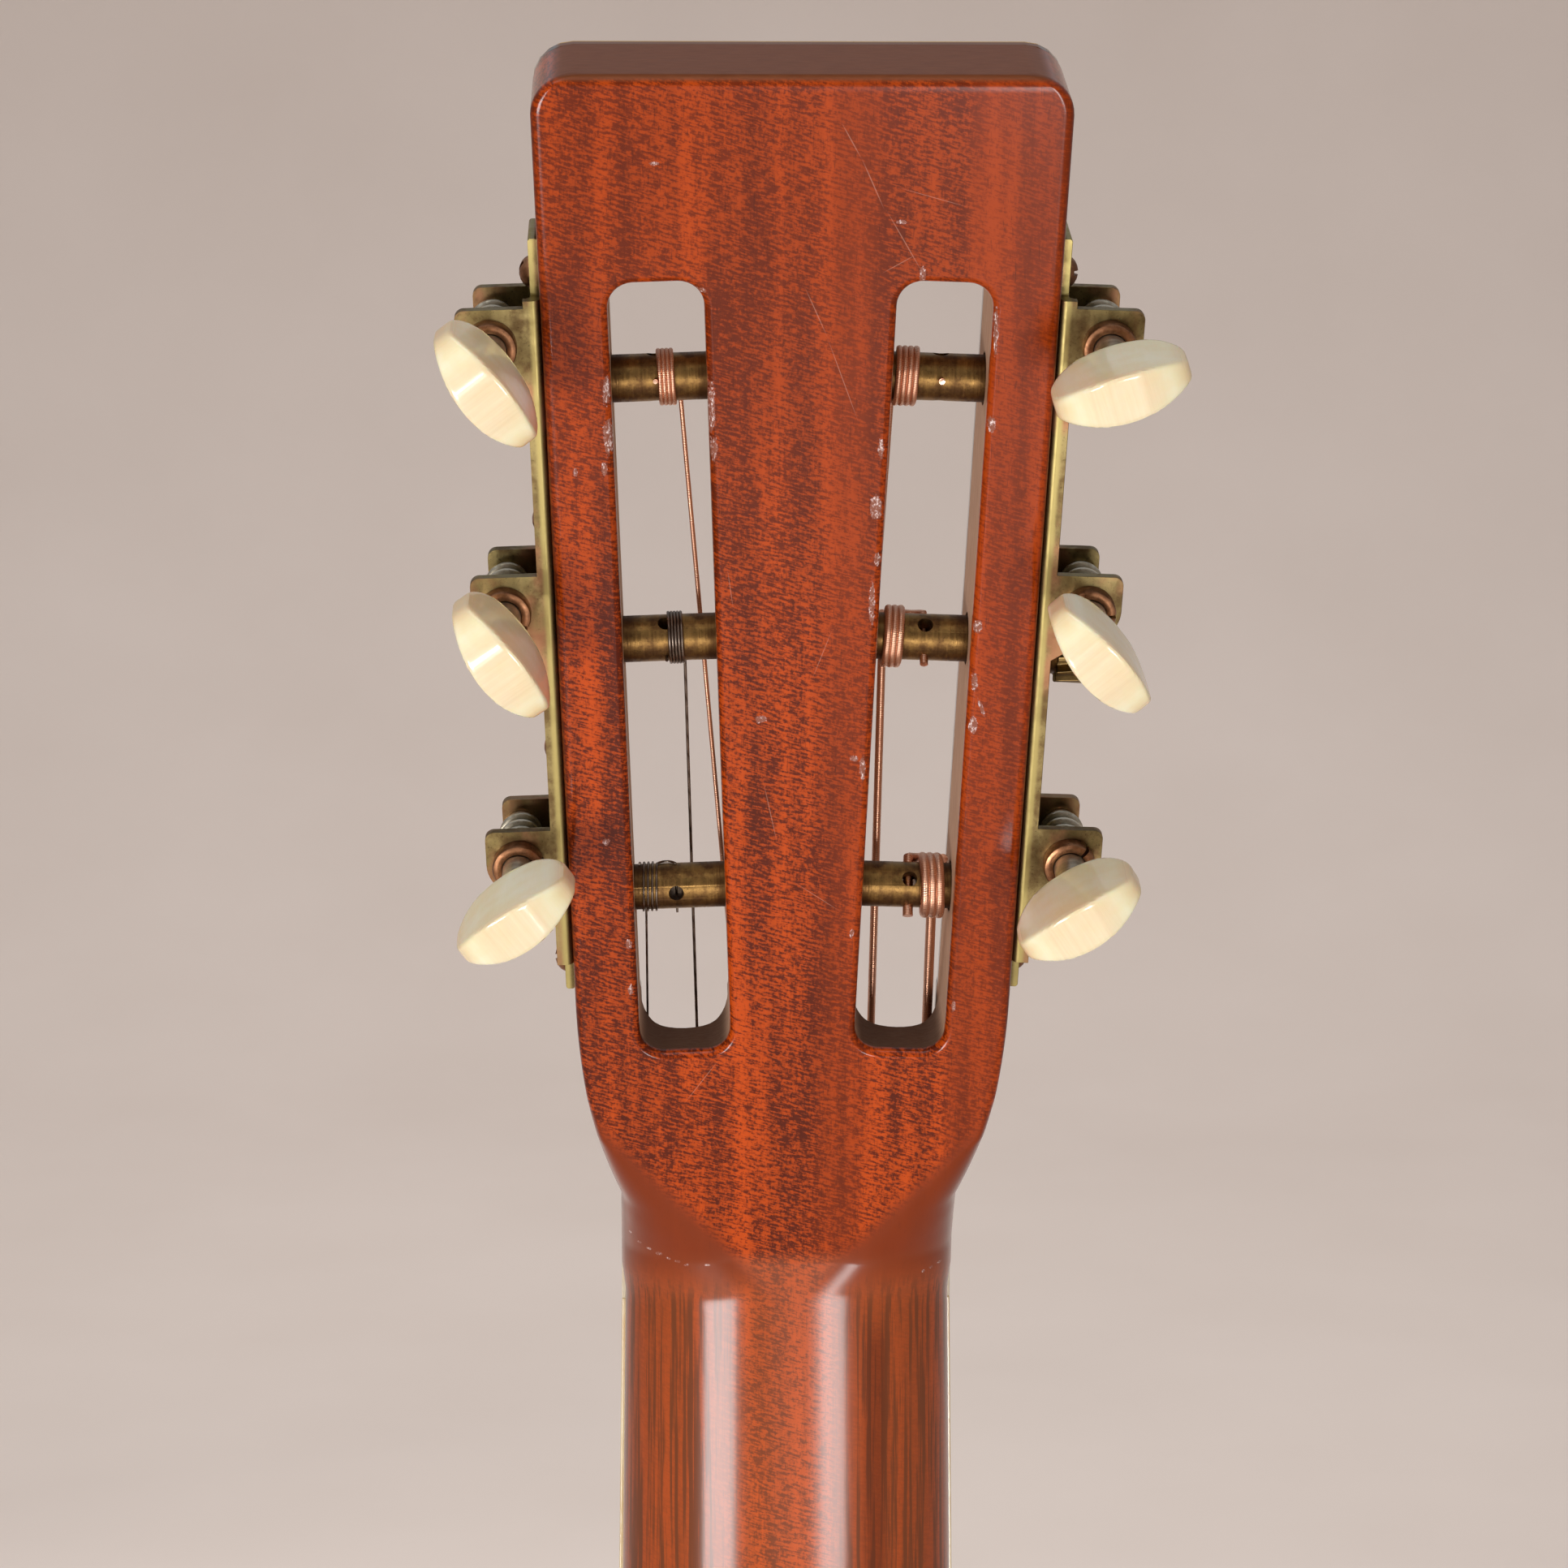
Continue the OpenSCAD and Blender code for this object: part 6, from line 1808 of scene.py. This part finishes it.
string_finish = {n: steel_wire_finish if n <= 2 else wrap_finish for n in range(1, 7)}
windings = {n: wire(f"string_turns_{n}", winding_path(n), STRING_R[n - 1], string_finish[n])
            for n in range(1, 7)}
plain_strings = string_runs("plain_string_runs", (1, 2), 12)
wound_strings = string_runs("wound_string_runs", (3, 4, 5, 6), 14)
bush_set = join(*bushes)
print("winding 6:", len(windings[6].data.polygons), "faces")

# %% [markdown]
# ## Everything in its place
# Each finished piece rides on the body that carries it, so a button and its worm turn with their
# key, and a gear turns with its roller. The exact solid that it stands for is hidden.

# %% Hand the pieces over
def place(obj, body, slot, material, node):
    """Give a finished piece its material and its body, and let it stand for its solid."""
    if material is not None:
        obj.data.materials.clear()
        obj.data.materials.append(material)
    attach(obj, body)
    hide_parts(node)
    print(f"{obj.name}: {len(obj.data.polygons)} faces on {body}")


fixed = [(neck_wood, "mahogany", neck_finish, "neck"),
         (headplate, "head_veneer", veneer_finish, "headplate"),
         (nut, "bone", bone_finish, "nut"), (saddle, "bone", bone_finish, "saddle"),
         (fingerboard, "fingerboard_wood", rosewood_finish, "fingerboard"),
         (board_binding, "cream_binding", binding_finish, "fingerboard_binding"),
         (heel_cap, "dark_trim", ebony_finish, "heel_cap"),
         (bridge, "dark_trim", ebony_finish, "bridge"),
         (end_pin, "dark_trim", ebony_finish, "end_pin"),
         (bridge_pins, "pin_plastic", binding_finish, "bridge_pins"),
         (plates[0], "plate_brass", plate_finish, "tuner_plate_bass"),
         (plates[1], "plate_brass", plate_finish, "tuner_plate_treble"),
         (bush_set, "bush_copper", bush_finish, "worm_bushes"),
         (screws, "bush_copper", None, "plate_screws"),
         (frets, "fret_wire", None, "frets"),
         (soundboard, "spruce_top", spruce_finish, "soundboard"),
         (rosette, "rosette_wood", rosette_finish, "rosette"),
         (back_plate, "body_mahogany", back_finish, "back"),
         (sides["bass"], "body_mahogany", side_finish, "side_bass"),
         (sides["treble"], "body_mahogany", side_finish, "side_treble"),
         (body_binding, "cream_binding", binding_finish, "body_binding"),
         (plain_strings, "plain_steel", None, "plain_strings"),
         (wound_strings, "wound_bronze", None, "wound_strings")]
for piece, slot, finish, node in fixed:
    place(piece, "guitar", slot, finish, node)
for n in range(1, 7):
    place(buttons[n], f"key_{n}", "button_cream", button_finish, f"button_{n}")
    place(worms[n], f"key_{n}", "worm_steel", steel_finish, f"worm_{n}")
    place(gears[n], f"roller_{n}", "gear_brass", gear_finish, f"gear_{n}")
    place(posts[n], f"roller_{n}", "roller_brass", roller_finish, f"post_{n}")
    place(windings[n], f"roller_{n}", "plain_steel" if n <= 2 else "wound_bronze", None,
          f"winding_{n}")
print(len(fixed) + 5 * 6, "pieces stand for their solids")

# %% [markdown]
# ## Solids that stay
# The braces, linings and blocks are plain sticks inside the body, and their solids already are
# that. They keep their shape and only take a finish, because a finer form would hardly show
# through the soundhole.

# %% Finishes of the solids that stay
STAY = {"fret_markers": dot_finish, "neck_bar": bar_finish, "neck_block": inner_finish,
        "tail_block": inner_finish, "linings": inner_finish, "top_braces": brace_finish,
        "back_braces": brace_finish}
for name, finish in STAY.items():
    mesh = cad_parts[name].data
    mesh.materials.clear()
    mesh.materials.append(finish)
print(len(STAY), "solids keep their shape")

# %% [markdown]
# ## Light
# Two softboxes behind the viewer give the long soft highlights on the rounded neck, and a large
# soft light from above fills the rest. A soft light in front keeps the soundboard from going dark,
# and another one lights the sweep evenly. Neither of them shows as a reflection in the lacquer.

# %% Lights
def softbox(name, location, aim, size, power):
    data = bpy.data.lights.new(name, "AREA")
    data.shape = "RECTANGLE"
    data.size, data.size_y = size
    data.energy = power
    light = bpy.data.objects.new(name, data)
    light.location = location
    light.rotation_euler = (Vector(aim) - Vector(location)).to_track_quat("-Z", "Y").to_euler()
    bpy.context.scene.collection.objects.link(light)
    return light


softbox("left softbox", (0.753, 1.524, -0.5), (0, 0, 0), (0.62, 0.36), 15.5)
softbox("right softbox", (-0.394, 1.654, -0.5), (0, 0, 0), (0.4, 0.36), 9)
softbox("overhead", (0.3, 0.6, 1.6), (0, 0, 0.05), (1.2, 1.2), 7)
fill = softbox("front fill", (0.7, -1.7, 0.5), (0, 0, -0.4), (1.0, 1.4), 14)
backdrop = softbox("backdrop light", (0, -1.9, 2.6), (0, -3.4, -0.9), (3.0, 1.6), 26)
backdrop.data.spread = math.radians(100)
for light in (fill, backdrop):
    light.visible_glossy = False
world = bpy.data.worlds.new("studio")
world.use_nodes = True
world.node_tree.nodes["Background"].inputs["Color"].default_value = (0.95, 0.96, 1, 1)
world.node_tree.nodes["Background"].inputs["Strength"].default_value = 0.4
bpy.context.scene.world = world
bpy.context.scene.view_settings.view_transform = "Standard"
print("five lights and an even sky")

# %% [markdown]
# ## Floor
# The floor is a pale sweep: a wide dish whose rim rises all round, so no horizon shows from any
# side. It lies a millimetre under the lowest point of the guitar.

# %% Floor
FLOOR_Z = cad_box[0][2] - MM
DISH_R, DISH_BEND, DISH_TOP, DISH_SIDES, BEND_STEPS = 5.0, 1.4, 2.6, 96, 12
rim = [(0.0001, 0), (DISH_R - DISH_BEND, 0)]
for i in range(1, BEND_STEPS + 1):
    a = math.pi / 2 * i / BEND_STEPS
    rim.append((DISH_R - DISH_BEND * (1 - math.sin(a)), DISH_BEND * (1 - math.cos(a))))
rim.append((DISH_R, DISH_TOP))
turns = [math.tau * j / DISH_SIDES for j in range(DISH_SIDES)]
floor = loft("floor", [[(r * math.cos(a), r * math.sin(a), FLOOR_Z + up) for a in turns]
                       for r, up in rim], capped=False)
floor.data.shade_smooth()
floor.data.materials.append(floor_finish)
print("the floor lies at", round(FLOOR_Z, 4))

# %% [markdown]
# ## Sizes
# The finished pieces are meant to fill the same box as the exact solids, whose box is measured when
# they come in. At the end the scene is brought up to date.

# %% Sizes and the end
bpy.context.view_layer.update()
